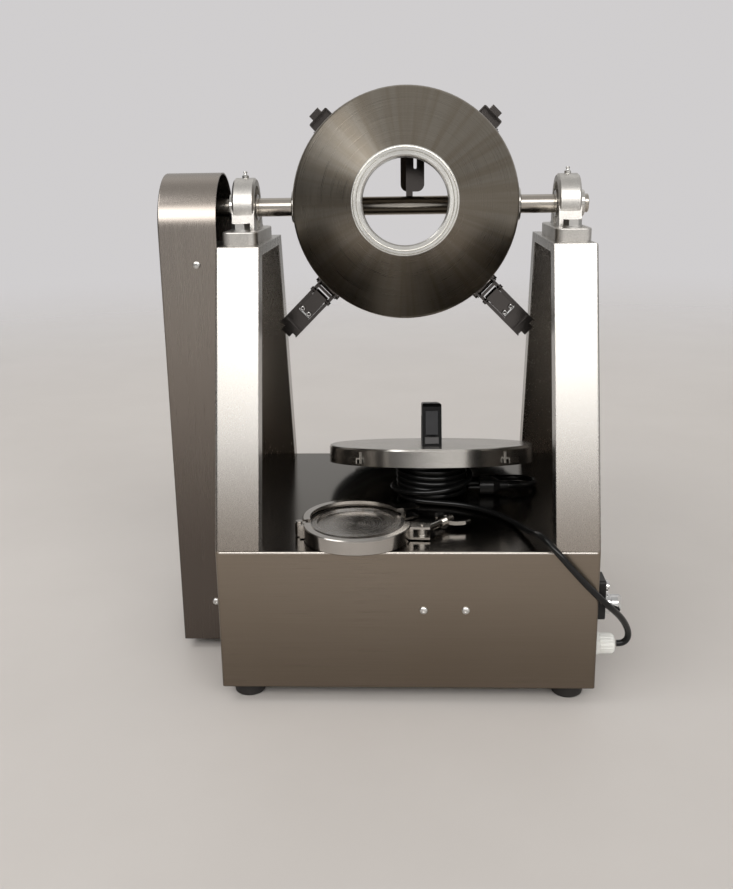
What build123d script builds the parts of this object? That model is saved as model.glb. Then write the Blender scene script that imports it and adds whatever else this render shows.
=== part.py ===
from build123d import *
import math
import os

os.makedirs("parts", exist_ok=True)

# Tabletop drum mixer for powders. Millimetres. X runs to the right, Y away from the front, Z up.
# The origin lies on the floor under the middle of the base.

# Base and deck
BASE_W = 392.0
BASE_D = 370.0
BASE_H = 152.0
SHEET = 2.0
BEND_R = 3.0
BASE_FLANGE = 42.0
DECK_LIP = 14.0

# Fits: fixed pieces, pins that turn, loose pieces at rest, pieces that run past each other
FIT = 0.05
PIN_FIT = 0.05
SHAFT_FIT = 0.02
SEAT = 0.3
RUNNING = 0.3

# Feet
FOOT_H = 18.0
FOOT_R = 18.0
FOOT_SOLE_R = 14.5
FOOT_INSET_X = 25.0
FOOT_INSET_Y = 28.0
FOOT_SCREW_R = 4.0
FOOT_WASHER_R = 8.5

# Uprights
UPRIGHT_W = 45.0
UPRIGHT_H = 300.0
UPRIGHT_TOP_HALF = 95.0
RETURN_FLANGE = 25.0
TOP_LIP = 10.0

# Bearing blocks and shaft
SHAFT_R = 10.0
SHAFT_PAST_LEFT = 47.0
SHAFT_PAST_RIGHT = 3.0
BLOCK_INSET = 20.0
BLOCK_CENTRE_H = 36.0
BLOCK_L = 127.0
BLOCK_W = 38.0
BLOCK_FOOT_T = 13.0
BLOCK_RING_R = 32.0
BLOCK_RING_W = 24.0
BOLT_SPACING = 95.0
BOLT_R = 5.0
OUTER_RING_R = 23.5
OUTER_RING_W = 17.0
INNER_RING_R = 14.5
INNER_LONG = 18.3
INNER_SHORT = 12.7
GRUB_R = 2.0
GRUB_BACK = 4.6
NIPPLE_R = 3.0

# Drum
DRUM_R = 120.0
WALL = 2.0
DRUM_REAR = 88.0
CONE_START = 52.0
CONE_END = 114.0
TUBE_R = 44.45
NECK_END = 116.0
KNUCKLE_R = 7.0
TILT = 4.0
BOSS_R = 18.0
BOSS_T = 13.0

# Mouth ferrule, the standard 106 mm clamp size
FERRULE_R = 53.0
FERRULE_FACE = 136.4
FERRULE_EDGE = 2.85
GROOVE_R = 49.5
GROOVE_HALF = 2.3
GROOVE_DEPTH = 1.6
FLANK = 20.0

# Paddle
PADDLE_W = 26.0
PADDLE_X = 7.5
PADDLE_T = 2.0
PADDLE_FOOT = 14.7
PADDLE_GAP = 23.0

# Latches
LATCH_ANGLES = (45.0, 135.0, 225.0, 315.0)
LATCH_OUT = 9.0
LATCH_BACK = 110.0
LEVER_W = 26.0
LEVER_L = 69.5
LEVER_DEPTH = 9.5
LATCH_SHEET = 1.5
WINDOW_END = 45.0
CLAW_W = 17.0
CLAW_PIVOT = 14.0
CLAW_L = 29.0
PIN_R = 2.5

# Belt drive
DRIVE_OUT = 32.0
PULLEY_R = 30.0
PULLEY_W = 16.0
PULLEY_RIM_R = 19.5
PULLEY_WEB_T = 8.0
HUB_R = 14.5
BELT_W = 10.0
BELT_H = 6.0
BELT_ANGLE = 38.0
GROOVE_FLOOR = 1.5
MOTOR_SHAFT_UP = 81.6
MOTOR_SHAFT_R = 7.5
MOTOR_SIDE = 90.0
GEARHEAD_L = 62.0
GEAR_OFFSET = 18.0
GEAR_BOSS_R = 17.0
GEAR_SCREW_R = 3.0
GEAR_SCREW_HALF = 36.8
MOTOR_L = 150.0

# Bracket behind the front panel and its two screws
BRACKET_BACK = 40.0
BRACKET_PAST = 56.0
PANEL_SCREW_BACK = 0.8
PANEL_SCREW_PAST = 42.5
PANEL_SCREW_UP = 88.5
PANEL_SCREW_R = 2.5
CAN_R = 16.0

# Belt guard
GUARD_SHEET = 1.5
GUARD_FAR = 67.5
GUARD_NEAR = 5.0
GUARD_HALF = 60.0
GUARD_DROP = 22.0
GUARD_BOTTOM = 12.0
GUARD_TAB_HALF = 50.0
GUARD_TAB_UP = 42.0
GUARD_TAB_DOWN = 17.0
GUARD_TAB_H = 26.0
GUARD_TAB_REACH = 33.0
GUARD_SCREW_OUT = 27.4
GUARD_SCREW_DROP = 4.0
TAB_SCREW_R = 2.5

# Drum lid, lying on the deck and on the coiled cord
LID_OVER = 5.0
LID_RIM = 21.0
LID_SHEET = 1.5
LID_X = 29.5
LID_BACK = 57.5
LID_SCREW_R = 3.0
HANDLE_L = 124.0
HANDLE_W = 23.0
HANDLE_H = 50.0
HANDLE_SCREW_IN = 10.0

# Mouth clamp and cap, lying at the front of the deck
CLAMP_X = -55.0
CLAMP_FRONT = 67.0
CLAMP_H = 16.0
CLAMP_OVER = 4.0
LIP_R = 49.0
CLAMP_HINGE = 198.0
CLAMP_SPLIT = 24.7
CLAMP_OPEN = 21.0
HINGE_OUT = 5.0
HINGE_CLEAR_R = 7.8
LUG_OUT = 11.2
LUG_W = 15.4
LUG_T = 2.4
LUG_LOW = 1.2
LUG_REACH = 20.0
LUG_REAR = 33.3
LUG_FRONT = 17.2
EYE_R = 5.2
BOLT_DIR = 51.0
SWING_R = 4.0
SWING_L = 52.0
NUT_START = 36.0
CAP_EDGE = 3.2
CAP_RECESS_R = 41.0
CAP_RECESS = 2.8
CAP_PLAY = 1.3
RIM_PLAY = 0.6

# Switch on the right wall
SWITCH_IN = 25.0
SWITCH_UP = 86.0
SWITCH_HALF = 15.0
SWITCH_BELOW = 13.0
SWITCH_ABOVE = 30.0
PLATE_X = 9.0
COLLAR_R = 11.0
COLLAR_T = 7.0
KNOB_R = 9.0
KNOB_END = 27.0
KNOB_STEM_R = 4.0
BUTTON_UP = 19.0
BUTTON_COLLAR_R = 7.0
BUTTON_R = 4.6
BUTTON_STEM_R = 3.0

# Cable gland, cord and plug
GLAND_IN = 35.0
GLAND_UP = 35.0
GLAND_THREAD_R = 10.0
GLAND_END = 27.0
CORD_R = 3.5
CORD_LIFT = 3.7
COIL_TURNS = 7
COIL_MEAN = 38.5
COIL_X = 29.0
COIL_Y = 2.5
PLUG_X = 57.0
PLUG_Y = 7.5
PLUG_LIFT = 9.3
PLUG_L = 24.0
PLUG_H = 18.0
PLUG_W = 26.0
RELIEF_L = 10.0

# Route of the cord: from the end of the gland, past the front right corner of the deck, to the coil
GLAND_RUN = [(0, 0, 0), (5.3, 0, 0), (9.8, -0.6, 3.3), (11.7, -2, 8.3), (10.9, -4.5, 16.4), (6.5, -11, 27)]
CORNER_RUN = [(24.9, 14, -75.8), (10.4, 1, -59.3), (-9, -7, -38.8), (-28.4, -10, -16.4), (-46.9, -9, 5.1),
              (-58.5, 9, 14.5), (-68, 39, 8)]
COIL_RUN = [(87, -105.5), (66, -72.5), (34, -47.5), (0, -38.5)]

# Route of the free end: from the coil round to the plug
TAIL_RUN = [(0, 38.5, 0), (31, 41.5, 0), (64, 51.5, 0), (90.7, 57.5, 0), (111.4, 57.5, 0.2), (126, 42.9, 1.8),
            (126, 22.1, 4.1), (111.4, 7.5, 5.6), (91, 7.5, 5.6)]

# Derived places
BASE_Z = FOOT_H
DECK = BASE_Z + BASE_H
SIDE = BASE_W / 2
FRONT = BASE_D / 2
TOP = DECK + UPRIGHT_H
AXIS_Z = TOP + BLOCK_CENTRE_H
FOOT_X = SIDE - FOOT_INSET_X
FOOT_Y = FRONT - FOOT_INSET_Y
BLOCK_X = SIDE - BLOCK_INSET
INNER_FACE = SIDE - UPRIGHT_W
SHAFT_LEFT = -SIDE - SHAFT_PAST_LEFT
SHAFT_RIGHT = SIDE + SHAFT_PAST_RIGHT
LATCH_R = DRUM_R + LATCH_OUT
LATCH_Z = CONE_START - LATCH_BACK
EAR_IN = LEVER_W / 2 + RUNNING
EAR_OUT = EAR_IN + LATCH_SHEET
PADDLE_TOP = DRUM_R - PADDLE_GAP
DRIVE_X = -SIDE - DRIVE_OUT
MOTOR_Z = BASE_Z + MOTOR_SHAFT_UP
MOTOR_AXIS_Z = MOTOR_Z - GEAR_OFFSET
MOTOR_FACE = -SIDE + SHEET
MOTOR_TAIL = MOTOR_FACE + GEARHEAD_L + MOTOR_L
SHELF_Z = MOTOR_AXIS_Z - MOTOR_SIDE / 2
SHELF_SCREW_X = MOTOR_TAIL - 25
PANEL_SCREWS = (MOTOR_TAIL - PANEL_SCREW_BACK, MOTOR_TAIL + PANEL_SCREW_PAST)
PANEL_SCREW_Z = BASE_Z + PANEL_SCREW_UP
GUARD_OUT = -SIDE - GUARD_FAR
GUARD_IN = -SIDE - GUARD_NEAR
GUARD_SCREW_X = -SIDE - GUARD_SCREW_OUT
GUARD_TABS = (BASE_Z + GUARD_TAB_UP, TOP - GUARD_TAB_DOWN)
GUARD_SCREWS = (GUARD_TABS[0], GUARD_TABS[1] - GUARD_SCREW_DROP)
COIL_H = COIL_TURNS * 2 * CORD_R
LID_R = DRUM_R + LID_OVER
LID_Y = COIL_Y + LID_BACK
HANDLE_HOLES = (-HANDLE_L / 2 + HANDLE_SCREW_IN, HANDLE_L / 2 - HANDLE_SCREW_IN)
CLAMP_R = FERRULE_R + CLAMP_OVER
CLAMP_Y = -FRONT + CLAMP_FRONT
HINGE_R = CLAMP_R + HINGE_OUT
LUG_R = CLAMP_R + LUG_OUT
LUG_HIGH = CLAMP_H - LUG_LOW
GLAND_Y = -FRONT + GLAND_IN
GLAND_Z = BASE_Z + GLAND_UP
SWITCH_Y = -FRONT + SWITCH_IN
SWITCH_Z = BASE_Z + SWITCH_UP
SWITCH_LOW = SWITCH_Z - SWITCH_BELOW
SWITCH_HIGH = SWITCH_Z + SWITCH_ABOVE
BUTTON_Z = SWITCH_Z + BUTTON_UP


def lid_tilt():
    """Angle at which the underside of the lid comes to lie on the far edge of the coil."""
    low, high = 0.0, 45.0
    for _ in range(40):
        tilt = (low + high) / 2
        angle = math.radians(tilt)
        reach = LID_Y + LID_R * math.cos(angle) - COIL_Y - COIL_MEAN - CORD_R
        under = reach * math.tan(angle) + (LID_RIM - LID_SHEET) / math.cos(angle)
        low, high = (tilt, high) if under < COIL_H + RUNNING else (low, tilt)
    return high


LID_TILT = lid_tilt()
LID_AT = Pos(LID_X, LID_Y, DECK + SEAT + LID_R * math.sin(math.radians(LID_TILT))) * Rot(-LID_TILT, 0, 0)
DRUM_AT = Pos(0, 0, AXIS_Z) * Rot(90 - TILT, 0, 0)
CLAMP_AT = Pos(CLAMP_X, CLAMP_Y, DECK + SEAT)
HINGE_X = HINGE_R * math.cos(math.radians(CLAMP_HINGE))
HINGE_Y = HINGE_R * math.sin(math.radians(CLAMP_HINGE))
FRONT_AT = CLAMP_AT * Pos(HINGE_X, HINGE_Y, 0) * Rot(0, 0, -CLAMP_OPEN) * Pos(-HINGE_X, -HINGE_Y, 0)
ALONG_X = Rot(0, 90, 0)


def turned(points, angle=360):
    """Solid turned about Z from points of radius and height."""
    return revolve(Plane.XZ * make_face(Polyline(*points, close=True)), Axis.Z, angle)


def pipe_z(outer, inner, low, high):
    """Round sleeve about Z between two heights."""
    return Pos(0, 0, low) * (
        Cylinder(outer, high - low, align=(Align.CENTER, Align.CENTER, Align.MIN))
        - Cylinder(inner, high - low, align=(Align.CENTER, Align.CENTER, Align.MIN))
    )


def rod_z(radius, low, high):
    """Round bar about Z between two heights."""
    return Pos(0, 0, low) * Cylinder(radius, high - low, align=(Align.CENTER, Align.CENTER, Align.MIN))


def hex_z(across, low, high):
    """Hexagonal bar about Z between two heights."""
    outline = RegularPolygon(across / 2, 6, major_radius=False)
    return Pos(0, 0, low) * extrude(outline, high - low)


def block(x0, x1, y0, y1, z0, z1):
    """Rectangular block between two corners."""
    return Pos(x0, y0, z0) * Box(x1 - x0, y1 - y0, z1 - z0, align=(Align.MIN, Align.MIN, Align.MIN))


def polygon_x(points, x0, x1):
    """Prism along X from points of Y and Z."""
    return Pos(x0, 0, 0) * extrude(Plane.YZ * make_face(Polyline(*points, close=True)), x1 - x0)


def flat_z(points, z0, z1):
    """Prism along Z from points of X and Y."""
    return Pos(0, 0, z0) * extrude(make_face(Polyline(*points, close=True)), z1 - z0)


def dome_screw_z(shank_r, shank_l, head_r, head_h):
    """Round-headed socket screw, its head above Z = 0 and its shank below."""
    head = turned([(0, 0), (head_r, 0), (head_r, head_h * 0.3), (head_r * 0.88, head_h * 0.68),
                   (head_r * 0.62, head_h * 0.92), (head_r * 0.45, head_h), (0, head_h)])
    head -= hex_z(head_r * 0.7, head_h * 0.45, head_h + 1)
    return head + rod_z(shank_r, -shank_l, 0)


def save(shape, node):
    """Write one piece, or one set of like pieces, as its own STEP file."""
    parts = shape if isinstance(shape, list) else [shape]
    solids = [s for p in parts for s in p.solids()]
    export_step(Compound(children=solids) if len(solids) > 1 else solids[0], "parts/" + node + ".step")


# Base: folded box, open below, with a flange for the feet
def base_shell():
    outer = block(-SIDE, SIDE, -FRONT, FRONT, BASE_Z, DECK)
    outer = fillet(outer.edges().filter_by(Axis.Z), BEND_R)
    inner = block(-SIDE + SHEET, SIDE - SHEET, -FRONT + SHEET, FRONT - SHEET, BASE_Z + SHEET, DECK + 1)
    inner = fillet(inner.edges().filter_by(Axis.Z), BEND_R - SHEET)
    hole_x = SIDE - BASE_FLANGE
    hole_y = FRONT - BASE_FLANGE
    shell = outer - inner - block(-hole_x, hole_x, -hole_y, hole_y, BASE_Z - 1, BASE_Z + SHEET + 1)
    for x in (-FOOT_X, FOOT_X):
        for y in (-FOOT_Y, FOOT_Y):
            shell -= Pos(x, y, 0) * rod_z(FOOT_SCREW_R + FIT, BASE_Z - 1, BASE_Z + SHEET + 1)
    for x in PANEL_SCREWS:
        shell -= Pos(x, -FRONT, PANEL_SCREW_Z) * Rot(90, 0, 0) * rod_z(PANEL_SCREW_R + FIT, -5, 5)
    shell -= Pos(-SIDE, 0, MOTOR_Z) * ALONG_X * rod_z(GEAR_BOSS_R + FIT, -5, 5)
    for y, z in gearhead_holes():
        shell -= Pos(-SIDE, y, z) * ALONG_X * rod_z(GEAR_SCREW_R + FIT, -5, 5)
    shell -= Pos(SIDE, GLAND_Y, GLAND_Z) * ALONG_X * rod_z(GLAND_THREAD_R + FIT, -5, 5)
    shell -= Pos(SIDE, SWITCH_Y, SWITCH_Z) * ALONG_X * rod_z(KNOB_STEM_R + RUNNING, -5, 5)
    shell -= Pos(SIDE, SWITCH_Y, BUTTON_Z) * ALONG_X * rod_z(BUTTON_STEM_R + RUNNING, -5, 5)
    for y in (-GUARD_TAB_HALF, GUARD_TAB_HALF):
        shell -= Pos(-SIDE, y, GUARD_TABS[0]) * ALONG_X * rod_z(TAB_SCREW_R + FIT, -5, 5)
    return shell


def gearhead_holes():
    return [(y, MOTOR_AXIS_Z + z) for y in (-GEAR_SCREW_HALF, GEAR_SCREW_HALF)
            for z in (-GEAR_SCREW_HALF, GEAR_SCREW_HALF)]


# Deck: a tray with a downturned lip, set flush into the walls
def deck_plate():
    x = SIDE - SHEET - FIT
    y = FRONT - SHEET - FIT
    tray = block(-x, x, -y, y, DECK - DECK_LIP, DECK)
    tray = fillet(tray.edges().filter_by(Axis.Z), BEND_R - SHEET)
    tray -= block(-x + SHEET, x - SHEET, -y + SHEET, y - SHEET, DECK - DECK_LIP - 1, DECK - SHEET)
    return tray


# Rubber feet and the screws that hold them
def rubber_feet():
    slope = (FOOT_SOLE_R, 0), (FOOT_SOLE_R + 1.5, 1.5), (FOOT_R, FOOT_H - 6), (FOOT_R, FOOT_H)
    recess = (FOOT_SCREW_R + FIT, FOOT_H), (FOOT_SCREW_R + FIT, 7), (FOOT_WASHER_R, 7), (FOOT_WASHER_R, 0)
    foot = turned([*slope, *recess])
    return [Pos(x, y, 0) * foot for x in (-FOOT_X, FOOT_X) for y in (-FOOT_Y, FOOT_Y)]


def foot_screws():
    screw = rod_z(FOOT_SCREW_R, 6, FOOT_H + SHEET + 9) + hex_z(13, 2, 7)
    nut = Pos(0, 0, FOOT_H + SHEET) * (hex_z(13, 0, 6.5) - rod_z(FOOT_SCREW_R + SHAFT_FIT, -1, 8))
    return [Pos(x, y, 0) * p for x in (-FOOT_X, FOOT_X) for y in (-FOOT_Y, FOOT_Y) for p in (screw, nut)]


# Uprights: folded channels, closed outward and open towards the drum
def upright_half(z):
    return FRONT - (FRONT - UPRIGHT_TOP_HALF) * (z - DECK) / UPRIGHT_H


def upright(side):
    lean = math.hypot(1, (FRONT - UPRIGHT_TOP_HALF) / UPRIGHT_H)

    def outline(inset, top):
        low = upright_half(DECK) - inset * lean
        high = upright_half(top) - inset * lean
        return [(-low, DECK), (low, DECK), (high, top), (-high, top)]

    outer = polygon_x(outline(0, TOP), INNER_FACE, SIDE)
    bends = outer.edges().filter_by(lambda e: e.center().X > SIDE - 1 and e.center().Z > DECK + 1)
    outer = fillet(bends, BEND_R)
    cavity = polygon_x(outline(SHEET, TOP - SHEET), INNER_FACE + SHEET, SIDE - SHEET)
    mouth = polygon_x(outline(RETURN_FLANGE, TOP - TOP_LIP), INNER_FACE - 1, INNER_FACE + SHEET + 1)
    body = outer - cavity - mouth
    for y in (-BOLT_SPACING / 2, BOLT_SPACING / 2):
        body -= Pos(BLOCK_X, y, 0) * rod_z(BOLT_R + 0.5, TOP - SHEET - 1, TOP + 1)
    if side < 0:
        body = mirror(body, Plane.YZ)
        for y in (-GUARD_TAB_HALF, GUARD_TAB_HALF):
            body -= Pos(-SIDE, y, GUARD_TABS[1]) * ALONG_X * rod_z(TAB_SCREW_R + FIT, -5, 5)
    return body


# Pillow block bearings
def bearing_housing():
    half = BLOCK_L / 2
    foot = block(-BLOCK_W / 2, BLOCK_W / 2, -half, half, 0, BLOCK_FOOT_T)
    foot = fillet(foot.edges().filter_by(Axis.Z), 9)
    foot = fillet(foot.edges().group_by(Axis.Z)[-1], 1.5)
    ring = Pos(0, 0, BLOCK_CENTRE_H) * ALONG_X * rod_z(BLOCK_RING_R, -BLOCK_RING_W / 2, BLOCK_RING_W / 2)
    ring = chamfer(ring.edges(), 2)
    lean = 34.5
    web = polygon_x([(-lean, BLOCK_FOOT_T - 3), (lean, BLOCK_FOOT_T - 3), (BLOCK_RING_R - 2, BLOCK_CENTRE_H),
                     (-BLOCK_RING_R + 2, BLOCK_CENTRE_H)], -BLOCK_RING_W / 2, BLOCK_RING_W / 2)
    body = foot + ring + web
    body -= Pos(0, 0, BLOCK_CENTRE_H) * ALONG_X * rod_z(OUTER_RING_R + SHAFT_FIT, -40, 40)
    for y in (-BOLT_SPACING / 2, BOLT_SPACING / 2):
        body -= Pos(0, y, 0) * rod_z(BOLT_R + 0.75, -1, BLOCK_FOOT_T + 1)
    body -= Pos(0, 0, BLOCK_CENTRE_H + BLOCK_RING_R) * rod_z(NIPPLE_R + FIT, -6, 1)
    return body


def at_blocks(piece):
    """One piece at the left bearing block and its mirror at the right one."""
    right = Pos(BLOCK_X, 0, TOP) * piece
    return [mirror(right, Plane.YZ), right]


def bearing_outer_ring():
    return Pos(0, 0, BLOCK_CENTRE_H) * ALONG_X * pipe_z(
        OUTER_RING_R, INNER_RING_R + RUNNING, -OUTER_RING_W / 2, OUTER_RING_W / 2)


def bearing_inner_ring():
    ring = pipe_z(INNER_RING_R, SHAFT_R + SHAFT_FIT, -INNER_SHORT, INNER_LONG)
    ring = chamfer(ring.edges().group_by(Axis.Z)[-1].sort_by(SortBy.LENGTH)[-1], 1)
    for turn in (60, 180):
        hole = Pos(0, 0, INNER_LONG - GRUB_BACK) * Rot(0, 0, turn) * Rot(0, 90, 0) * rod_z(GRUB_R + SHAFT_FIT, 5, 20)
        ring -= hole
    return Pos(0, 0, BLOCK_CENTRE_H) * ALONG_X * ring


def set_screw_pair():
    screws = []
    for turn in (60, 180):
        grub = rod_z(GRUB_R, SHAFT_R + 0.1, INNER_RING_R - 0.6) - hex_z(2.0, INNER_RING_R - 2.2, INNER_RING_R)
        screws.append(Pos(0, 0, INNER_LONG - GRUB_BACK) * Rot(0, 0, turn) * Rot(0, 90, 0) * grub)
    return Pos(0, 0, BLOCK_CENTRE_H) * ALONG_X * Compound(children=screws)


def grease_nipple():
    top = BLOCK_CENTRE_H + BLOCK_RING_R
    stem = [(0, -5), (NIPPLE_R, -5), (NIPPLE_R, 0), (3.6, 0), (3.6, 2.2), (2.0, 3.4), (1.6, 4.6), (2.4, 5.8),
            (1.8, 6.9), (0, 7.1)]
    return Pos(0, 0, top) * turned(stem)


def bearing_bolts():
    bolt = hex_z(17, BLOCK_FOOT_T + 2.0, BLOCK_FOOT_T + 8.4) + rod_z(BOLT_R, -SHEET - 12, BLOCK_FOOT_T + 2.1)
    nut = hex_z(17, -SHEET - 8, -SHEET) - rod_z(BOLT_R + SHAFT_FIT, -SHEET - 9, 0)
    ys = (-BOLT_SPACING / 2, BOLT_SPACING / 2)
    return [p for y in ys for s in (bolt, nut) for p in at_blocks(Pos(0, y, 0) * s)]


def bearing_washers():
    washer = pipe_z(10.5, BOLT_R + RUNNING, BLOCK_FOOT_T, BLOCK_FOOT_T + 2.0)
    return [p for y in (-BOLT_SPACING / 2, BOLT_SPACING / 2) for p in at_blocks(Pos(0, y, 0) * washer)]


# Shaft, from the pulley through both bearings
def drive_shaft():
    shaft = Pos(0, 0, AXIS_Z) * ALONG_X * rod_z(SHAFT_R, SHAFT_LEFT, SHAFT_RIGHT)
    return chamfer(shaft.edges(), 0.8)


# Drum: cylinder, knuckle, cone and neck in one wall, its local Z towards the mouth
def drum_shell():
    run_r = DRUM_R - TUBE_R
    run_z = CONE_END - CONE_START
    slant = math.hypot(run_r, run_z)
    drop = WALL * (slant - run_r) / run_z
    low_in = CONE_START - drop
    high_in = low_in + (DRUM_R - TUBE_R) * run_z / run_r
    outside = make_face(Polyline((0, -DRUM_REAR), (DRUM_R, -DRUM_REAR), (DRUM_R, CONE_START), (TUBE_R, CONE_END),
                                 (TUBE_R, NECK_END), (0, NECK_END), close=True))
    outside = fillet(outside.vertices().filter_by(
        lambda v: abs(v.X - DRUM_R) < 0.01 and v.Y > 0), KNUCKLE_R)
    inside = make_face(Polyline((0, -DRUM_REAR - 1), (DRUM_R - WALL, -DRUM_REAR - 1), (DRUM_R - WALL, low_in),
                                (TUBE_R - WALL, high_in), (TUBE_R - WALL, NECK_END + 1), (0, NECK_END + 1),
                                close=True))
    inside = fillet(inside.vertices().filter_by(
        lambda v: abs(v.X - DRUM_R + WALL) < 0.01 and v.Y > 0), KNUCKLE_R - WALL)
    shell = revolve(Plane.XZ * outside, Axis.Z) - revolve(Plane.XZ * inside, Axis.Z)
    shell -= ALONG_X * rod_z(BOSS_R + FIT, -DRUM_R - 20, DRUM_R + 20)
    return DRUM_AT * shell


def shaft_bosses():
    boss = pipe_z(BOSS_R, SHAFT_R + SHAFT_FIT, DRUM_R - WALL - 6, DRUM_R - WALL - 6 + BOSS_T)
    boss = chamfer(boss.edges().group_by(Axis.Z)[-1].sort_by(SortBy.LENGTH)[-1], 1.2)
    right = ALONG_X * boss
    return [DRUM_AT * mirror(right, Plane.YZ), DRUM_AT * right]


def mouth_ferrule():
    edge = FERRULE_FACE - FERRULE_EDGE
    root = edge - (FERRULE_R - TUBE_R) * math.tan(math.radians(FLANK))
    bore = TUBE_R - WALL
    points = [(bore, NECK_END), (bore, FERRULE_FACE - 1.2), (bore + 1.2, FERRULE_FACE),
              (GROOVE_R - GROOVE_HALF, FERRULE_FACE), (GROOVE_R - GROOVE_HALF / 2, FERRULE_FACE - GROOVE_DEPTH),
              (GROOVE_R + GROOVE_HALF / 2, FERRULE_FACE - GROOVE_DEPTH), (GROOVE_R + GROOVE_HALF, FERRULE_FACE),
              (FERRULE_R - 0.4, FERRULE_FACE), (FERRULE_R, FERRULE_FACE - 0.4), (FERRULE_R, edge),
              (TUBE_R, root), (TUBE_R, NECK_END)]
    return DRUM_AT * turned(points)


# Paddle: bent blade with a slot, on a stem that stands on the shaft
def paddle():
    x0 = PADDLE_X - PADDLE_W / 2
    x1 = PADDLE_X + PADDLE_W / 2
    crease = x0 + 6
    back = math.tan(math.radians(20)) * (crease - x0)
    blade = flat_z([(x0, back), (crease, 0), (x1, 0), (x1, PADDLE_T), (crease + 0.3, PADDLE_T),
                    (x0 + 0.7, PADDLE_T + back)], PADDLE_FOOT, PADDLE_TOP)
    trim = Pos((x0 + x1) / 2, 0, (PADDLE_FOOT + PADDLE_TOP) / 2) * Rot(90, 0, 0) * extrude(
        RectangleRounded(PADDLE_W, PADDLE_TOP - PADDLE_FOOT, 8), 12, both=True)
    blade = blade & trim
    slot_x = (crease + x1) / 2
    slot = Pos(slot_x, 0, (PADDLE_FOOT + PADDLE_TOP) / 2 + 6) * Rot(90, 0, 0) * extrude(
        SlotOverall(46, 3.4, rotation=90), 12, both=True)
    stem = block(crease, crease + 7.3, PADDLE_T, PADDLE_T + 5, 0, PADDLE_FOOT + 30)
    stem -= ALONG_X * rod_z(SHAFT_R + SHAFT_FIT, -60, 60)
    stem = [s for s in stem.solids() if s.center().Z > 5][0]
    return Pos(0, 0, AXIS_Z) * Rot(-TILT, 0, 0) * ((blade - slot) + stem)


# Latches: base on the drum wall, lever and claw
def latch_at(angle):
    """Place of a latch pin; local X runs along the pin, Y outward and Z towards the mouth."""
    return DRUM_AT * Rot(0, 0, angle - 90) * Pos(0, LATCH_R, LATCH_Z)


def latch_base():
    rise = DRUM_R - LATCH_R
    plate = block(-EAR_OUT, EAR_OUT, rise - 3, rise + LATCH_SHEET + 0.6, -20, 20)
    plate = fillet(plate.edges().filter_by(Axis.Y), 3)
    plate -= Pos(0, -LATCH_R, 0) * rod_z(DRUM_R + 0.01, -30, 30)
    ear = block(EAR_IN, EAR_OUT, rise, 5, -8, 8)
    ear = fillet(ear.edges().filter_by(Axis.X).group_by(Axis.Y)[-1], 5)
    pin = ALONG_X * (rod_z(PIN_R, -EAR_OUT - 2.2, EAR_OUT + 2.2))
    heads = ALONG_X * (rod_z(PIN_R + 1.5, EAR_OUT, EAR_OUT + 2.2) + rod_z(PIN_R + 1.5, -EAR_OUT - 2.2, -EAR_OUT))
    return plate + ear + mirror(ear, Plane.YZ) + pin + heads


def latch_lever():
    half = LEVER_W / 2
    back = LEVER_DEPTH - 4.5
    channel = block(-half, half, -4.5, back, -6, LEVER_L)
    channel = fillet(channel.edges().filter_by(Axis.Z).group_by(Axis.Y)[-1], 2)
    channel -= block(-half + LATCH_SHEET, half - LATCH_SHEET, -6, back - LATCH_SHEET, -10, LEVER_L + 4)
    nose = block(-half - 1, half + 1, -5.8, back + 1, -5.6, LEVER_L + 1)
    nose = fillet(nose.edges().filter_by(Axis.X), 4.4)
    channel = channel & nose
    channel -= block(-CLAW_W / 2 - 0.5, CLAW_W / 2 + 0.5, back - LATCH_SHEET - 1, back + 1, -10, WINDOW_END)
    tab = block(-6.5, 6.5, back - LATCH_SHEET, back, LEVER_L - 4, LEVER_L + 6)
    tab += block(-6.5, 6.5, back - LATCH_SHEET, back + 5, LEVER_L + 6 - LATCH_SHEET, LEVER_L + 6)
    tab = fillet(tab.edges().filter_by(Axis.Y).group_by(Axis.Z)[-1], 0.6)
    channel = channel + tab
    channel -= ALONG_X * rod_z(PIN_R + PIN_FIT, -40, 40)
    claw_pin = Pos(0, 0, CLAW_PIVOT) * ALONG_X * rod_z(PIN_R, -half - 1.6, half + 1.6)
    return channel + claw_pin


def latch_claw():
    plate = block(-CLAW_W / 2, CLAW_W / 2, -5, -3, 0, CLAW_L)
    tip = Pos(0, 0, CLAW_L - 9) * Rot(90, 0, 0) * extrude(Circle(12), 20, both=True)
    low = block(-20, 20, -20, 20, -1, CLAW_L - 12)
    plate = plate & (tip + low)
    hook = block(-CLAW_W / 4, CLAW_W / 4, -5, 2.5, CLAW_L - 3, CLAW_L - 1)
    eye = ALONG_X * rod_z(PIN_R + 2.0, -CLAW_W / 2, CLAW_W / 2)
    web = block(-CLAW_W / 2, CLAW_W / 2, -5, 0, -2, 2)
    body = plate + hook + eye + web
    body -= ALONG_X * rod_z(PIN_R + PIN_FIT, -40, 40)
    return Pos(0, 0, CLAW_PIVOT) * body


def lever_pose(angle):
    """The lower two levers stand open, the upper two lie closed."""
    return Rot(-90, 0, 0) if angle > 180 else Rot(0, 0, 0)


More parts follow.
